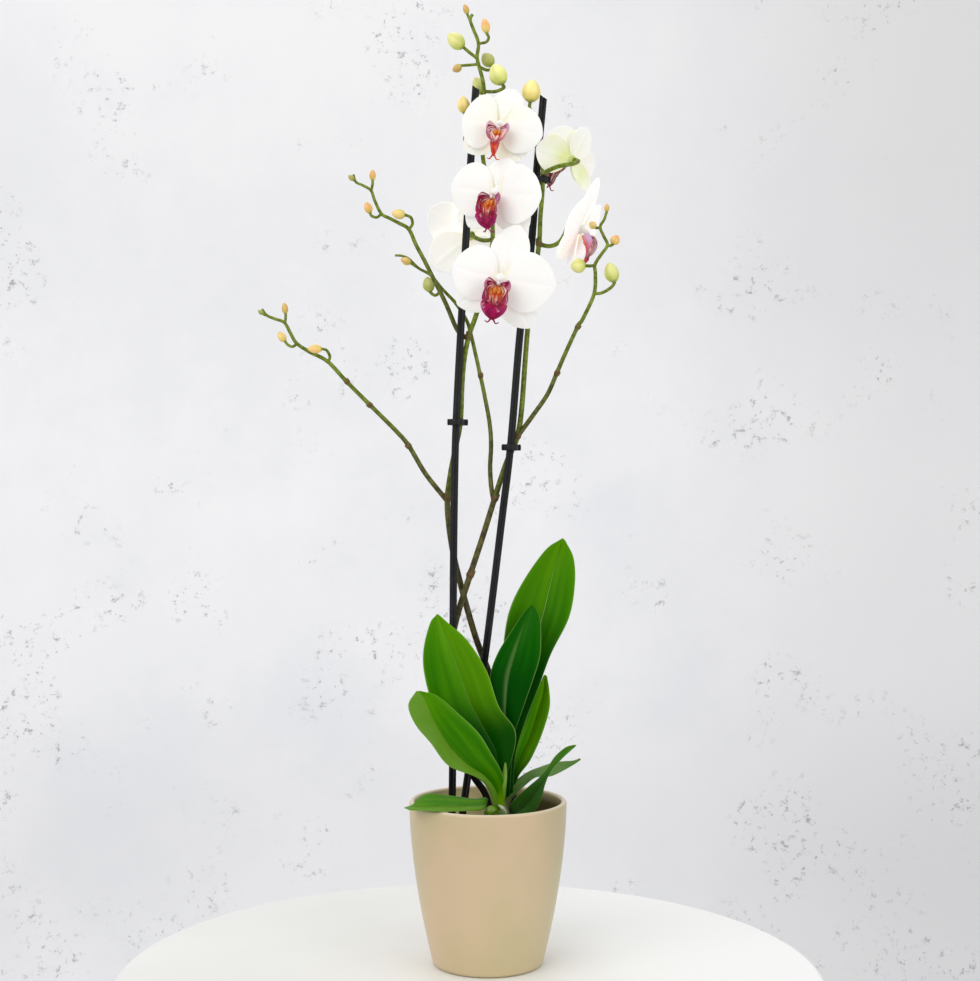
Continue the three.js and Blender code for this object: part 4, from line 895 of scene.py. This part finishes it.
def bract(thick, thin, points, k, branch):
    """A pointed scale that hugs the stem above a joint: half a sleeve, whose height falls from its middle
    to its edges as 1 - a^2, leaning out by a third of a millimetre."""
    here = k / (len(points) - 1)
    centre, beyond = spline(points, np.array([here, here + 0.01]))
    upward = unit(beyond - centre)
    outward = unit(np.cross(upward, [0, 1, 0]) * (1 if k % 2 else -1) + np.array([0, -0.5, 0]))
    outward = unit(outward - upward * (outward @ upward))
    rise, turn = np.meshgrid(np.linspace(0, 1, 10), np.linspace(-1, 1, 13), indexing="ij")
    angle = turn[..., None] * BRACT_TURN
    sleeve = np.cos(angle) * outward + np.sin(angle) * np.cross(upward, outward)
    radius = thick + (thin - thick) * here + BRACT_GAP + BRACT_LEAN * rise**2
    height = -1 + BRACT_HEIGHTS[branch] * rise * (1 - turn**2)
    grid = centre + radius[..., None] * sleeve + height[..., None] * upward
    marks = {"along": rise, "across": turn, "ring": 1 - 0.5 * rise, "old": 0.4}
    return blade(grid, BRACT_THICKNESS, marks)


def from_stems(curves, points, shares):
    """A curve through points, with the first of them moved to the nearest point of the stems."""
    first = np.array(points[0], float)
    nearest = [curve[np.argmin(np.linalg.norm(curve - first, axis=1))] for curve in curves]
    start = min(nearest, key=lambda point: np.linalg.norm(point - first))
    return spline(np.vstack([start, *points[1:]]), shares)


def bud(curves, points, first, last, radius, gold, deep):
    """A footstalk that runs into an egg. The egg's radius is a sine of the share to the power 0.88, and
    three shallow seams run down it where the sepals meet."""
    first, last = np.array(first, float), np.array(last, float)
    stalk = from_stems(curves, [*points, first, first + 0.2 * (last - first)], np.linspace(0, 0.93, 22))
    stalk_radii = np.full(len(stalk), 0.92 * (1.1 + 0.06 * radius))
    stalk_part = tube(stalk, stalk_radii, STALK_SIDES, {"along": np.linspace(0, 0.1, len(stalk))})
    share = eased(BUD_ROWS)[:, None]
    angle = ring_angles(BUD_SIDES) + 0 * share
    seam = np.abs(np.cos(1.5 * angle + radius))
    radii = radius * np.sin(np.pi * share**0.88) ** 0.62 * (1 - 0.07 * seam**6 * np.sin(np.pi * share))
    marks = {"along": share[:, 0], "across": np.cos(3 * angle), "gold": gold, "deep": deep, "seam": seam**8}
    egg_part = tube(first + share * (last - first), np.maximum(radii, 0.02), BUD_SIDES, marks)
    return [stalk_part, {**egg_part, "finish": 1}]


def footstalk(curves, bloom, points):
    """The stalk of an open flower, from the stem to the back of its hub."""
    share = np.linspace(0, 1, 48)
    path = from_stems(curves, [*points, behind(bloom, HUB_BACK + 5), behind(bloom, HUB_BACK - 0.3)], share)
    radii = 1.8 + 0.9 * np.exp(-((share / 0.05) ** 2)) + 0.5 * smooth(share, 0.8, 1)
    return tube(path, radii, STEM_SIDES, {"along": share, "ring": np.exp(-((share / 0.08) ** 2))})

# %% [markdown]
# ## The blooms
# A moth orchid's bloom has three narrow sepals behind, two broad petals in front, and a lip with a
# column above it. Each bloom has a place, a turn, a nod and a lean, and its own five angles, lengths and
# widths, read off the photograph one by one, because no two flowers on a spike are alike. A cup bends
# the petals' tips to the front, and the lip has a scale and its middle lobe's half width. The numbers
# glow, fresh, pale and warm run from 0 to 1: how strongly the petals glow with painted light, which
# stands for the light that comes through them, how green they still are, and how pale and how warm the
# lip is.

# %% Bloom places
BLOOMS = {
    "bloom_top": dict(
        at=(9.9, -22, 692), turn=-5, nod=-6, lean=-8, cup=0, lip_scale=0.9, lip_middle=1.5, glow=0.2, fresh=0.7,
        pale=0.6, warm=1,
        petals=[(11, 34, 24), (141, 34, 27), (-131, 35, 24), (97, 36, 37), (-86, 32, 43)]),
    "bloom_middle": dict(
        at=(6.8, -28, 636), turn=-25, nod=4, lean=-5, cup=0, lip_scale=0.92, lip_middle=8, glow=0.3, fresh=0.08,
        pale=0.15, warm=0,
        petals=[(18, 29, 27), (139, 41, 28), (-136, 38, 24), (94, 40, 45), (-84, 42, 41)]),
    "bloom_low": dict(
        at=(9.8, -34, 565), turn=-4, nod=5, lean=-10, cup=0, lip_scale=1.02, lip_middle=8, glow=0.28,
        fresh=0.08, pale=0.2, warm=0,
        petals=[(10, 46, 29), (138, 47, 28), (-130, 41, 30), (89, 46, 46), (-85, 40, 42)]),
    "bloom_right_high": dict(
        at=(68.5, 2, 669), turn=-140, nod=-15, lean=18, cup=0.18, lip_scale=0.78, lip_middle=5, glow=0.4,
        fresh=1, pale=0.05, warm=0.3,
        petals=[(-12, 34, 22), (101, 40, 28), (-108, 41, 11), (69, 33, 34), (-79, 36, 27)]),
    "bloom_right": dict(
        at=(76.4, 0, 611), turn=70, nod=24, lean=0, cup=0.06, lip_scale=0.9, lip_middle=3, glow=0.9, fresh=0.1,
        pale=0.75, warm=0.9,
        petals=[(0, 46, 29), (140, 38, 28), (-140, 37, 28), (84, 41, 44), (-84, 41, 44)]),
    "bloom_back_left": dict(
        at=(-15.3, 30, 610), turn=192, nod=2, lean=0, cup=0, lip_scale=0.8, lip_middle=5, glow=0.85, fresh=0.15,
        pale=0.3, warm=0,
        petals=[(-8, 33, 26), (131, 44, 34), (-140, 36, 26), (60, 41, 35), (-92, 38, 38)]),
}
PETAL_ROOT, PETAL_END, PETAL_THICKNESS, HUB_RADIUS, HUB_BACK = 2.8, 0.97, 0.8, 4.6, 5.2
PETAL_ROWS, PETAL_COLUMNS, PETAL_SEED = 56, 41, 5
HUB_SIDES, COLUMN_SIDES, CAP_ROWS, CAP_SIDES = 24, 20, 16, 18
SEPAL = dict(peak=0.9, full=0.7, claw=1.6, root=-1.2, back=3.5, bow=1, fold=0.7, wave=0.35)
WING = dict(peak=0.8, full=0.6, claw=1.6, root=1, back=2.5, bow=2.5, fold=0.5, wave=0.9)


def on_spike(bloom, points):
    """Points in a bloom's own frame, X right, Y up and Z to the front, leaned, nodded, turned and put
    in place."""
    spec = BLOOMS[bloom]
    lean, nod, turn = (math.radians(spec[key]) for key in ("lean", "nod", "turn"))
    matrix = turned_about("z", turn) @ turned_about("x", math.pi / 2 + nod) @ turned_about("z", lean)
    return points @ matrix.T + np.array(spec["at"])


def behind(bloom, distance):
    """The point at a distance behind the foot of a bloom's column."""
    return on_spike(bloom, np.array([0, 0, -distance]))


def petal(shape, kind, cup, phase):
    """The half width is a power of a sine along the petal and closes in an ellipse at the tip. The depth
    bows forward in the middle and falls back towards the tip, with a shallow fold along the middle and
    a wave along the edges."""
    angle, length, width = shape
    c, s = math.cos(math.radians(angle)), math.sin(math.radians(angle))
    share, u = np.broadcast_arrays(eased(PETAL_ROWS)[:, None], across_shares(PETAL_COLUMNS)[::-1])
    t = share * PETAL_END
    half = width / 2 * np.sin(np.pi * t ** kind["peak"]) ** kind["full"] + kind["claw"]
    half = half * np.sqrt(1 - share**16)
    depth = kind["root"] + kind["bow"] * np.sin(np.pi * t) * (1 - 0.7 * u**2)
    depth = depth - kind["back"] * t**2 + cup * length * t**2
    depth = depth - kind["fold"] * np.exp(-((u / 0.1) ** 2)) * np.sin(np.pi * share) ** 0.7
    depth = depth + kind["wave"] * np.abs(u) ** 3 * np.sin(8 * share + 3 * u + phase) * np.sin(np.pi * share)
    reach = PETAL_ROOT + (length - PETAL_ROOT) * share * (1 - 0.4 * cup * share)
    points = np.stack([reach * s + half * u * c, reach * c - half * u * s, depth], -1)
    return points, {"along": share, "across": u * (0.3 + 0.7 * half / half.max())}


def pebble(start, step, radius, count):
    """The path and the radii of a small egg: a straight step, and r sqrt(1 - x^2) along it."""
    share = eased(count)
    path = np.array(start) + share[:, None] * np.array(step)
    return path, radius * np.sqrt(np.clip(1 - (2 * share - 1) ** 2, 0, 1)) + 0.01


def petals(bloom, draw):
    """The five petals, the hub they grow from and the column, with the column's cap."""
    spec = BLOOMS[bloom]
    parts = []
    for i, shape in enumerate(spec["petals"]):
        points, marks = petal(shape, SEPAL if i < 3 else WING, spec["cup"], draw.uniform(0, 6))
        marks.update(fresh=spec["fresh"], glow=spec["glow"], lower=i in (1, 2))
        parts.append(blade(on_spike(bloom, points), PETAL_THICKNESS, marks))
    share = np.linspace(0, 1, 24)
    hub_path = np.stack([0 * share, 0 * share, -HUB_BACK + share * (HUB_BACK + 2.5)], -1)
    hub_radii = HUB_RADIUS * (0.6 + 0.4 * np.sin(2.2 * share)) * np.sqrt(1 - share**12)
    hub_marks = {"along": share, "fresh": spec["fresh"], "hub": smooth(1 - share, 0.3, 0.9)}
    column_path = spline([(0, 0, 0), (0, -0.4, 6), (0, -2.4, 9.2)], share)
    column_radii = (2.6 - 0.6 * share) * np.sqrt(1 - share**6)
    cap_path, cap_radii = pebble((0, -3.6, 7.6), (0, -1.2, 2.4), 1.6, CAP_ROWS)
    hub = tube(on_spike(bloom, hub_path), hub_radii, HUB_SIDES, hub_marks)
    column = tube(on_spike(bloom, column_path), column_radii, COLUMN_SIDES, {"along": share})
    cap = tube(on_spike(bloom, cap_path), cap_radii, CAP_SIDES, {"along": 1})
    return [*parts, hub, {**column, "finish": 1}, {**cap, "finish": 1}]

# %% [markdown]
# Petals are thin and let light through, also from behind. A little light scattered under the skin, a
# faint painted glow that stands for what comes through, and a warm white do most of it. The blooms that
# turn away from the viewer have the wall's light behind them, so they get the most painted glow. The
# base of each petal is a warmer cream, painted shade from the lip and column. Veins fan out as faint
# grey lines. Freshly opened blooms keep a yellow-green flush at the back and at the base, which wears
# off with age.

# %% Petal finish
SKIN_DEPTH = 1.5 * MM
petal_skin = new_finish("petal_skin", Roughness=0.6, Subsurface_Weight=0.2, Subsurface_Scale=SKIN_DEPTH,
                        Specular_IOR_Level=0.3, Emission_Strength=0.3)
along = mark("along")
flush = times(ramped(along, 1.2, 0.1), clouds(45, 0.3, 0.75, 0.45, 1, detail=2))
white = layered(
    # painted shade: a warmer cream at the base of each petal, by the lip and column
    mixed(ramped(along, 0, 0.16), screen(240, 234, 216), screen(247, 246, 243)),
    (times(ramped(streaks(16, 1), 0.45, 0.3), 0.035), screen(214, 208, 196)),
    (times(flush, times(mark("fresh"), sums("MAXIMUM", mark("lower"), 0.3))), screen(222, 230, 150)),
    (mark("hub"), screen(196, 206, 110)))
# painted glow: the petals' white is also their emission, as strong as the glow mark says
feed(white, ridged(streaks(8, 0.8, 2), 0.09, grain(900, 0.01)), mixed(mark("glow"), linear(0, 0, 0), white))

column_skin = new_finish("column_skin", Roughness=0.4, Subsurface_Weight=0.2, Subsurface_Scale=SKIN_DEPTH)
blush = ramped(mark("along"), 0.5, 1, 0, 0.22)
feed(mixed(blush, screen(250, 247, 242), screen(224, 160, 190)), grain(600, 0.05))

draw = np.random.default_rng(PETAL_SEED)
for bloom in BLOOMS:
    make_piece(bloom + "_corolla", petals(bloom, draw), [petal_skin, column_skin], bloom + "_petals")

# %% [markdown]
# ## The lip
# The lip is one curled sheet. Near its root it rolls up on both sides of the column, which makes the side
# lobes; it narrows to a waist, and widens to the middle lobe, whose tip ends in two tendrils. On its
# root sits a swelling, the callus, which guides insects. It is orange with red freckles.

# %% Lip shape
LIP_ROWS, LIP_COLUMNS, LIP_THICKNESS = 96, 65, 0.8
LOBE_END, LOBE_WIDTH, TIP_START, ROOT_WIDTH, TIP_WIDTH = 0.58, 12, 0.66, 3, 0.8
CURL_TIP, CURL_ROOT, FRILL, NUB_ROWS, NUB_SIDES, TENDRIL_SIDES = 0.45, 2.1, 0.35, 14, 14, 8
LIP_SPINE = [(0, -5.5, 4.5), (0, -9.5, 9), (0, -13.5, 13), (0, -19, 15.8), (0, -26.5, 16.3),
             (0, -33.5, 14.5)]


def along_curve(points, shares):
    """A smooth curve read at shares of its length, from a table of the length up to each point."""
    fine = spline(points, FINE_SHARES)
    length = arc_length(fine)
    return np.stack([np.interp(shares * length[-1], length, values) for values in fine.T], -1)


def lip(bloom):
    """The sheet bends round its spine: sideways by sin(c u) / c and up by (1 - cos(c u)) / c of its half
    width, where c is the curl. The half width is a skewed sine for the side lobes, which stand upright
    and bulge outwards, plus a shield that runs to a point for the middle lobe."""
    spec = BLOOMS[bloom]
    share = np.linspace(0, 1, LIP_ROWS)
    t, u = np.broadcast_arrays(share[:, None], across_shares(LIP_COLUMNS)[::-1])
    spine = along_curve(LIP_SPINE, share)
    tangent = unit(np.gradient(spine, axis=0))
    sides = np.sin(np.pi * np.minimum(1, t / LOBE_END) ** 1.1).clip(0) ** 0.7
    upright = unit(np.stack([0 * share, tangent[:, 2] + sides[:, 0], -tangent[:, 1]], -1))[:, None]
    point = np.maximum(0, (t - TIP_START) / (1 - TIP_START))
    shield = smooth(t, 0.42, 0.62) * (1 - point**2) * (1 - sides)
    half = ROOT_WIDTH - (ROOT_WIDTH - TIP_WIDTH) * point + LOBE_WIDTH * sides + spec["lip_middle"] * shield
    curl = CURL_TIP + (CURL_ROOT - CURL_TIP) * smooth(0.64 - t, 0, 0.26)
    frill = FRILL * np.abs(u) ** 4 * np.sin(26 * t + 3 * u) * smooth(1 - t, 0, 0.2)
    lift = (1 - np.cos(curl * u)) / curl * half + frill
    spread = np.sin(curl * u) / curl * half * (1 + 0.45 * sides)
    points = spine[:, None] + spread[..., None] * np.array([1, 0, 0]) + lift[..., None] * upright
    marks = {"along": t, "across": u, "pale": spec["pale"], "warm": spec["warm"],
             "maroon": 0.75 * (bloom == "bloom_right_high")}
    parts = [blade(points, LIP_THICKNESS, marks)]
    reach = np.linspace(0, 1, 20)
    tendril_marks = {"along": 1, "across": 0.3, "warm": spec["warm"]}
    for side in (-1, 1):
        tendril = [(0.8 * side, -32.3, 14.7), (3.2 * side, -35.6, 13), (5.6 * side, -34.6, 10.8)]
        nub = pebble((1.4 * side, -7.4, 8.6), (0.7 * side, -5, 5.3), 2.1, NUB_ROWS)
        parts.append(tube(spline(tendril, reach), 0.8 - 0.45 * reach, TENDRIL_SIDES, tendril_marks))
        parts.append({**tube(*nub, NUB_SIDES, {"along": eased(NUB_ROWS)}), "finish": 1})
    return [{**part, "points": on_spike(bloom, part["points"] * spec["lip_scale"])} for part in parts]

# %% [markdown]
# The lip's crimson runs in veins. They crowd together towards the rim and leave pale gaps at the base,
# where the colour turns to orange. So streaks choose between crimson and the pale ground, and the share
# along the sheet shifts the balance.

# %% Lip finish
lip_skin = new_finish("lip_skin", Roughness=0.36, Specular_IOR_Level=0.2)
along, aside, pale = mark("along"), sums("ABSOLUTE", mark("across")), mark("pale")
veins, patches = streaks(9, 2.4, 1), clouds(300, 0.35, 0.68)
crimson = mixed(patches, linear(0.17, 0, 0.014), linear(0.4, 0.006, 0.03))
magenta = mixed(patches, linear(0.2, 0, 0.035), linear(0.38, 0.004, 0.09))
flame = mixed(patches, linear(0.52, 0.03, 0.01), linear(0.75, 0.12, 0.03))
orange = mixed(ramped(veins, 0.4, 0.6), linear(0.55, 0.05, 0.015), linear(0.8, 0.26, 0.05))
maroon = mixed(ramped(veins, 0.55, 0.62), linear(0.07, 0.003, 0.008), linear(0.75, 0.6, 0.55))
low = mixed(ramped(along, 0.2, 0.45), screen(230, 120, 70), screen(214, 50, 60))
high = mixed(ramped(along, 0.3, 0.55), screen(222, 180, 220), screen(224, 80, 100))
stripes = times(ramped(plus(veins, times(pale, 0.24)), 0.6, 0.68), ramped(along, 0.66, 0.4))
red = layered(
    mixed(ramped(along, 0.56, 0.74), crimson, mixed(mark("warm"), magenta, flame)),
    (ramped(aside, 0.6, 1, 0, 0.55), linear(0.4, 0.03, 0.2)),
    # painted highlights: pale lilac patches in random places stand for the lip's gloss
    (clouds(230, 0.62, 0.7, 0, 0.55, detail=2), linear(0.75, 0.35, 0.5)),
    (times(ramped(along, 0.62, 0.3), ramped(aside, 0.5, 0.15)), orange),
    (times(stripes, 0.8), screen(252, 226, 226)),
    (times(mark("under"), times(pale, 1.3)), mixed(ramped(aside, 0.35, 0.8), low, high)),
    (mark("maroon"), maroon))
feed(red, grain(700, 0.08))

callus_skin = new_finish("callus_skin", Roughness=0.35, Coat_Weight=0.2, Coat_Roughness=0.2)
freckles = clouds(1400, 0.55, 0.62, detail=1)
feed(mixed(freckles, screen(232, 140, 32), screen(150, 28, 18)), grain(900, 0.06))
for bloom in BLOOMS:
    make_piece(bloom + "_labellum", lip(bloom), [lip_skin, callus_skin], bloom + "_lip")

# %% [markdown]
# ## Stems and buds, put together
# The stems wait until here because the footstalks end at the blooms. Their skin is olive green, browner
# with age and at the joints, where it is almost purple, and painted shade turns it nearly black low down
# among the leaves. The buds are waxy, with a greener base, and a faint painted glow in their own colour.

# %% Stem finishes
stem_skin = new_finish("stem_skin", Roughness=0.42, Specular_IOR_Level=0.2)
blotch, fine = clouds(120, 0.4, 0.68, detail=4, roughness=0.6), clouds(260, 0.3, 0.7, detail=2)
skin = layered(
    mixed(fine, linear(0.1, 0.145, 0.005), linear(0.23, 0.31, 0.035)),
    (times(blotch, 0.25), linear(0.06, 0.045, 0.012)),
    (times(mark("old"), plus(0.75, times(blotch, 0.25))),
     mixed(fine, linear(0.035, 0.02, 0.01), linear(0.1, 0.06, 0.035))),
    # painted shade: nearly black low down among the leaves
    (mark("damp"), linear(0.007, 0.004, 0.004)),
    (times(mark("ring"), 0.7), linear(0.16, 0.045, 0.035)))
feed(skin, grain(600, 0.1))

bud_skin = new_finish("bud_skin", Roughness=0.4, Subsurface_Weight=0.15, Subsurface_Scale=SKIN_DEPTH,
                      Emission_Strength=0.08)
along, gold = mark("along"), mark("gold")
lime = mixed(ramped(along, 0, 0.7), screen(196, 210, 84), screen(240, 240, 158))
honey = mixed(ramped(along, 0, 0.6), screen(228, 210, 100), screen(255, 232, 150))
apricot = mixed(ramped(along, 0, 0.8), screen(232, 190, 90), screen(246, 176, 112))
skin = layered(
    lime, (ramped(gold, 0, 0.5), honey), (ramped(gold, 0.5, 1), apricot),
    (clouds(160, 0.35, 0.7, 0, 0.35), screen(246, 240, 160)),
    (ramped(along, 0, 0.16, 0.8, 0), screen(112, 126, 40)),
    (times(mark("seam"), 0.25), screen(150, 150, 50)),
    (times(mark("deep"), 0.85), screen(122, 132, 44)))
# painted glow: the bud's own colour is also its emission
feed(skin, grain(700, 0.06), skin)

# %% Spikes
main_stems = {}
for name, (stems, buds, footstalks) in SPIKES.items():
    curves = [spline(points, FINE_SHARES) for *_, points in stems]
    main_stems[name] = curves[0]
    parts = [stem(*row, i > 0) for i, row in enumerate(stems)]
    parts += [bract(thick, thin, points, k, i > 0) for i, (thick, thin, joints, points) in enumerate(stems)
              for k in joints]
    parts += [part for row in buds for part in bud(curves, *row)]
    parts += [footstalk(curves, *row) for row in footstalks]
    make_piece(name + "_stems", parts, [stem_skin, bud_skin], name)

# %% [markdown]
# ## The clips
# Each clip is a springy band round stem and stake, with a small ear on either side to press it open. The
# band follows the outline of two circles and the straight lines that touch both.

# %% Clips
CLIPS = {"clip_left_low": ("left", 450), "clip_left_high": ("left", 686),
         "clip_right_low": ("right", 429), "clip_right_high": ("right", 651)}
CLIP_HEIGHT, CLIP_WALL, CLIP_WING, CLIP_CLEARANCE, CLIPPED_STEM = 5.2, 1.3, 1.8, 0.5, 3.0
STAKE_TURN, STEM_TURN, BAND_SIDES = 40, 24, 16


def at_height(path, height):
    """Where a path passes a height."""
    order = np.argsort(path[:, 2])
    return np.array([np.interp(height, path[order, 2], path[order, axis]) for axis in (0, 1)])


def clip(side_name, height):
    """A rounded section carried round the outline of the two circles, and two ears."""
    stake_at = at_height(spline(STAKES[side_name], FINE_SHARES), height)
    apart = at_height(main_stems["spike_" + side_name], height) - stake_at
    reach = [math.hypot(STAKE_WIDTH, STAKE_DEPTH) / 2 + CLIP_CLEARANCE, CLIPPED_STEM + CLIP_CLEARANCE]
    turn = math.atan2(apart[1], apart[0])
    lean = math.acos((reach[0] - reach[1]) / math.hypot(*apart))
    angle = np.concatenate([np.linspace(turn + lean, turn - lean + 2 * np.pi, STAKE_TURN),
                            np.linspace(turn - lean, turn + lean, STEM_TURN)])
    on_stake = (np.arange(STAKE_TURN + STEM_TURN) < STAKE_TURN)[:, None]
    outward = np.stack([np.cos(angle), np.sin(angle)], -1)
    around = ring_angles(BAND_SIDES)
    thick, tall = bar_section(around)
    thick, tall = thick * CLIP_WALL / 2, tall * CLIP_HEIGHT / 2
    out = np.where(on_stake, *reach) + CLIP_WALL / 2 + thick
    flat = stake_at + np.where(on_stake, 0, apart)[:, None] + out[..., None] * outward[:, None]
    grid = np.concatenate([flat, np.broadcast_to(height + tall, out.shape)[..., None]], -1)
    parts = [weld(sheet(np.concatenate([grid, grid[:1]]), wrap=True))]
    ear_ring = np.stack([0 * around, np.cos(around) * CLIP_WALL / 2, tall], -1)
    for side in (-1, 1):
        far_stem = side * apart[0] + reach[1]
        out, depth = (far_stem, apart[1]) if far_stem > reach[0] else (reach[0], 0)
        start = np.array([stake_at[0] + side * (out + CLIP_WALL - 0.6), stake_at[1] + depth, height])
        share = eased(12)[:, None, None]
        width = np.sqrt(np.clip(1 - np.abs(2 * share - 1) ** 6, 0, 1)) + 0.01
        rings = start + share * np.array([side * (CLIP_WING + 0.6), 0, 0]) + ear_ring * width
        parts.append(closed(rings[:, ::side]))
    return parts


for name, row in CLIPS.items():
    make_piece(name + "_band", clip(*row), [black_plastic], name)

# %% [markdown]
# ## The table, the wall and the light
# The pot stands on a small round white table in front of a plastered wall. Neither is part of the
# plant. The wall is a piece of a wide cylinder that runs into the floor in a curve, as a studio's
# backdrop does, so no corner shows and little light is caught by it.

# %% Stage
TABLE_AT, TABLE_RADIUS, TABLE_ROUND, TABLE_DEPTH = (-15.0, -19.7, -0.05), 287.7, 6.0, 700.0
WALL_RADIUS, WALL_FLOOR, WALL_TOP, WALL_ROUND, WALL_REACH = 2100.0, -720.0, 2600.0, 300.0, 55.0
TABLE_TURNS, WALL_COLUMNS = 192, 80


def rounded(radius, height, bend):
    """A quarter turn of radii and heights, from an upright to a level line, bending inwards."""
    turn = np.linspace(0, np.pi / 2, 10)
    return [(radius - abs(bend) * (1 - np.cos(a)), height + bend * (1 - np.sin(a))) for a in turn]


edge = rounded(TABLE_RADIUS, 0, -TABLE_ROUND)
table_profile = [(TABLE_RADIUS - 20, -TABLE_DEPTH), (TABLE_RADIUS, 1 - TABLE_DEPTH), *edge, (0, 0)]
table_part = lathe(table_profile, TABLE_TURNS)
table_part["points"] = table_part["points"] + np.array(TABLE_AT)
table_white = new_finish("table_white", Roughness=0.5)
white = mixed(clouds(4, 0.3, 0.7), screen(236, 236, 232), screen(243, 244, 240))
# painted light: the table lighter towards its right
feed(mixed(ramped(coordinate("X"), -0.02, 0.12), white, screen(254, 255, 253)))
make_object("table", [table_part], [table_white])

wall_profile = [(WALL_RADIUS, height) for height in np.linspace(WALL_TOP, 0, 6)]
wall_profile = np.array([*wall_profile, *rounded(WALL_RADIUS, WALL_FLOOR, WALL_ROUND), (1, WALL_FLOOR)])
bearing = np.radians(np.linspace(90 - WALL_REACH, 90 + WALL_REACH, WALL_COLUMNS))
wall_grid = np.stack([wall_profile[:, :1] * np.cos(bearing), wall_profile[:, :1] * np.sin(bearing),
                      np.repeat(wall_profile[:, 1:], WALL_COLUMNS, axis=1)], -1)
plaster = new_finish("plaster", Roughness=0.9)
right, up = coordinate("X"), coordinate("Z")
shade = plus(ramped(right, 0.1, 0.95, 0, 0.6), ramped(up, 0.05, -0.35, 0, 0.3))
shade = plus(shade, ramped(up, 0.4, 1.1, 0, 0.3))
spread = plus(speckle(where(), 4.6), ramped(up, 0.5, -0.3, 0, 0.06))
flaws = times(clouds(55, 0.56, 0.62, detail=8, roughness=0.8), ramped(spread, 0.54, 0.66))
patches = clouds(1.6, 0.3, 0.66, detail=6, roughness=0.65)
feed(layered(mixed(patches, screen(241, 242, 245), screen(252, 252, 253)),
             (shade, screen(222, 222, 223)), (times(flaws, 0.85), screen(165, 166, 167))))
make_object("wall", [sheet(wall_grid)], [plaster])

# %% Light
def soft_light(name, at, aim, size, power, colour):
    """A square lamp at a place, turned towards an aim."""
    data = bpy.data.lights.new(name, "AREA")
    data.shape, data.size, data.energy, data.color = "SQUARE", size, power, colour
    lamp = bpy.data.objects.new(name, data)
    lamp.location = at
    x, y, z = np.array(aim, float) - np.array(at, float)
    lamp.rotation_euler = (math.atan2(math.hypot(x, y), -z), 0, math.atan2(x, -y) + math.pi)
    bpy.context.scene.collection.objects.link(lamp)


soft_light("window", (-1.4, -1.7, 1.7), (0, 0, 0.4), 2.3, 30, (1.0, 0.99, 0.97))
soft_light("fill", (1.7, -1.3, 0.9), (0, 0, 0.4), 1.4, 13, (0.98, 0.985, 1.0))
soft_light("wall_wash", (-0.4, 0.5, 1.9), (-0.1, 2.1, 0.1), 1.4, 7, (1.0, 0.99, 0.98))
world = bpy.data.worlds.new("daylight")
bpy.context.scene.world = world
world.use_nodes = True
background = world.node_tree.nodes["Background"].inputs
background["Color"].default_value = (0.99, 0.99, 1.0, 1.0)
background["Strength"].default_value = 0.6
bpy.context.scene.view_settings.view_transform = "Standard"
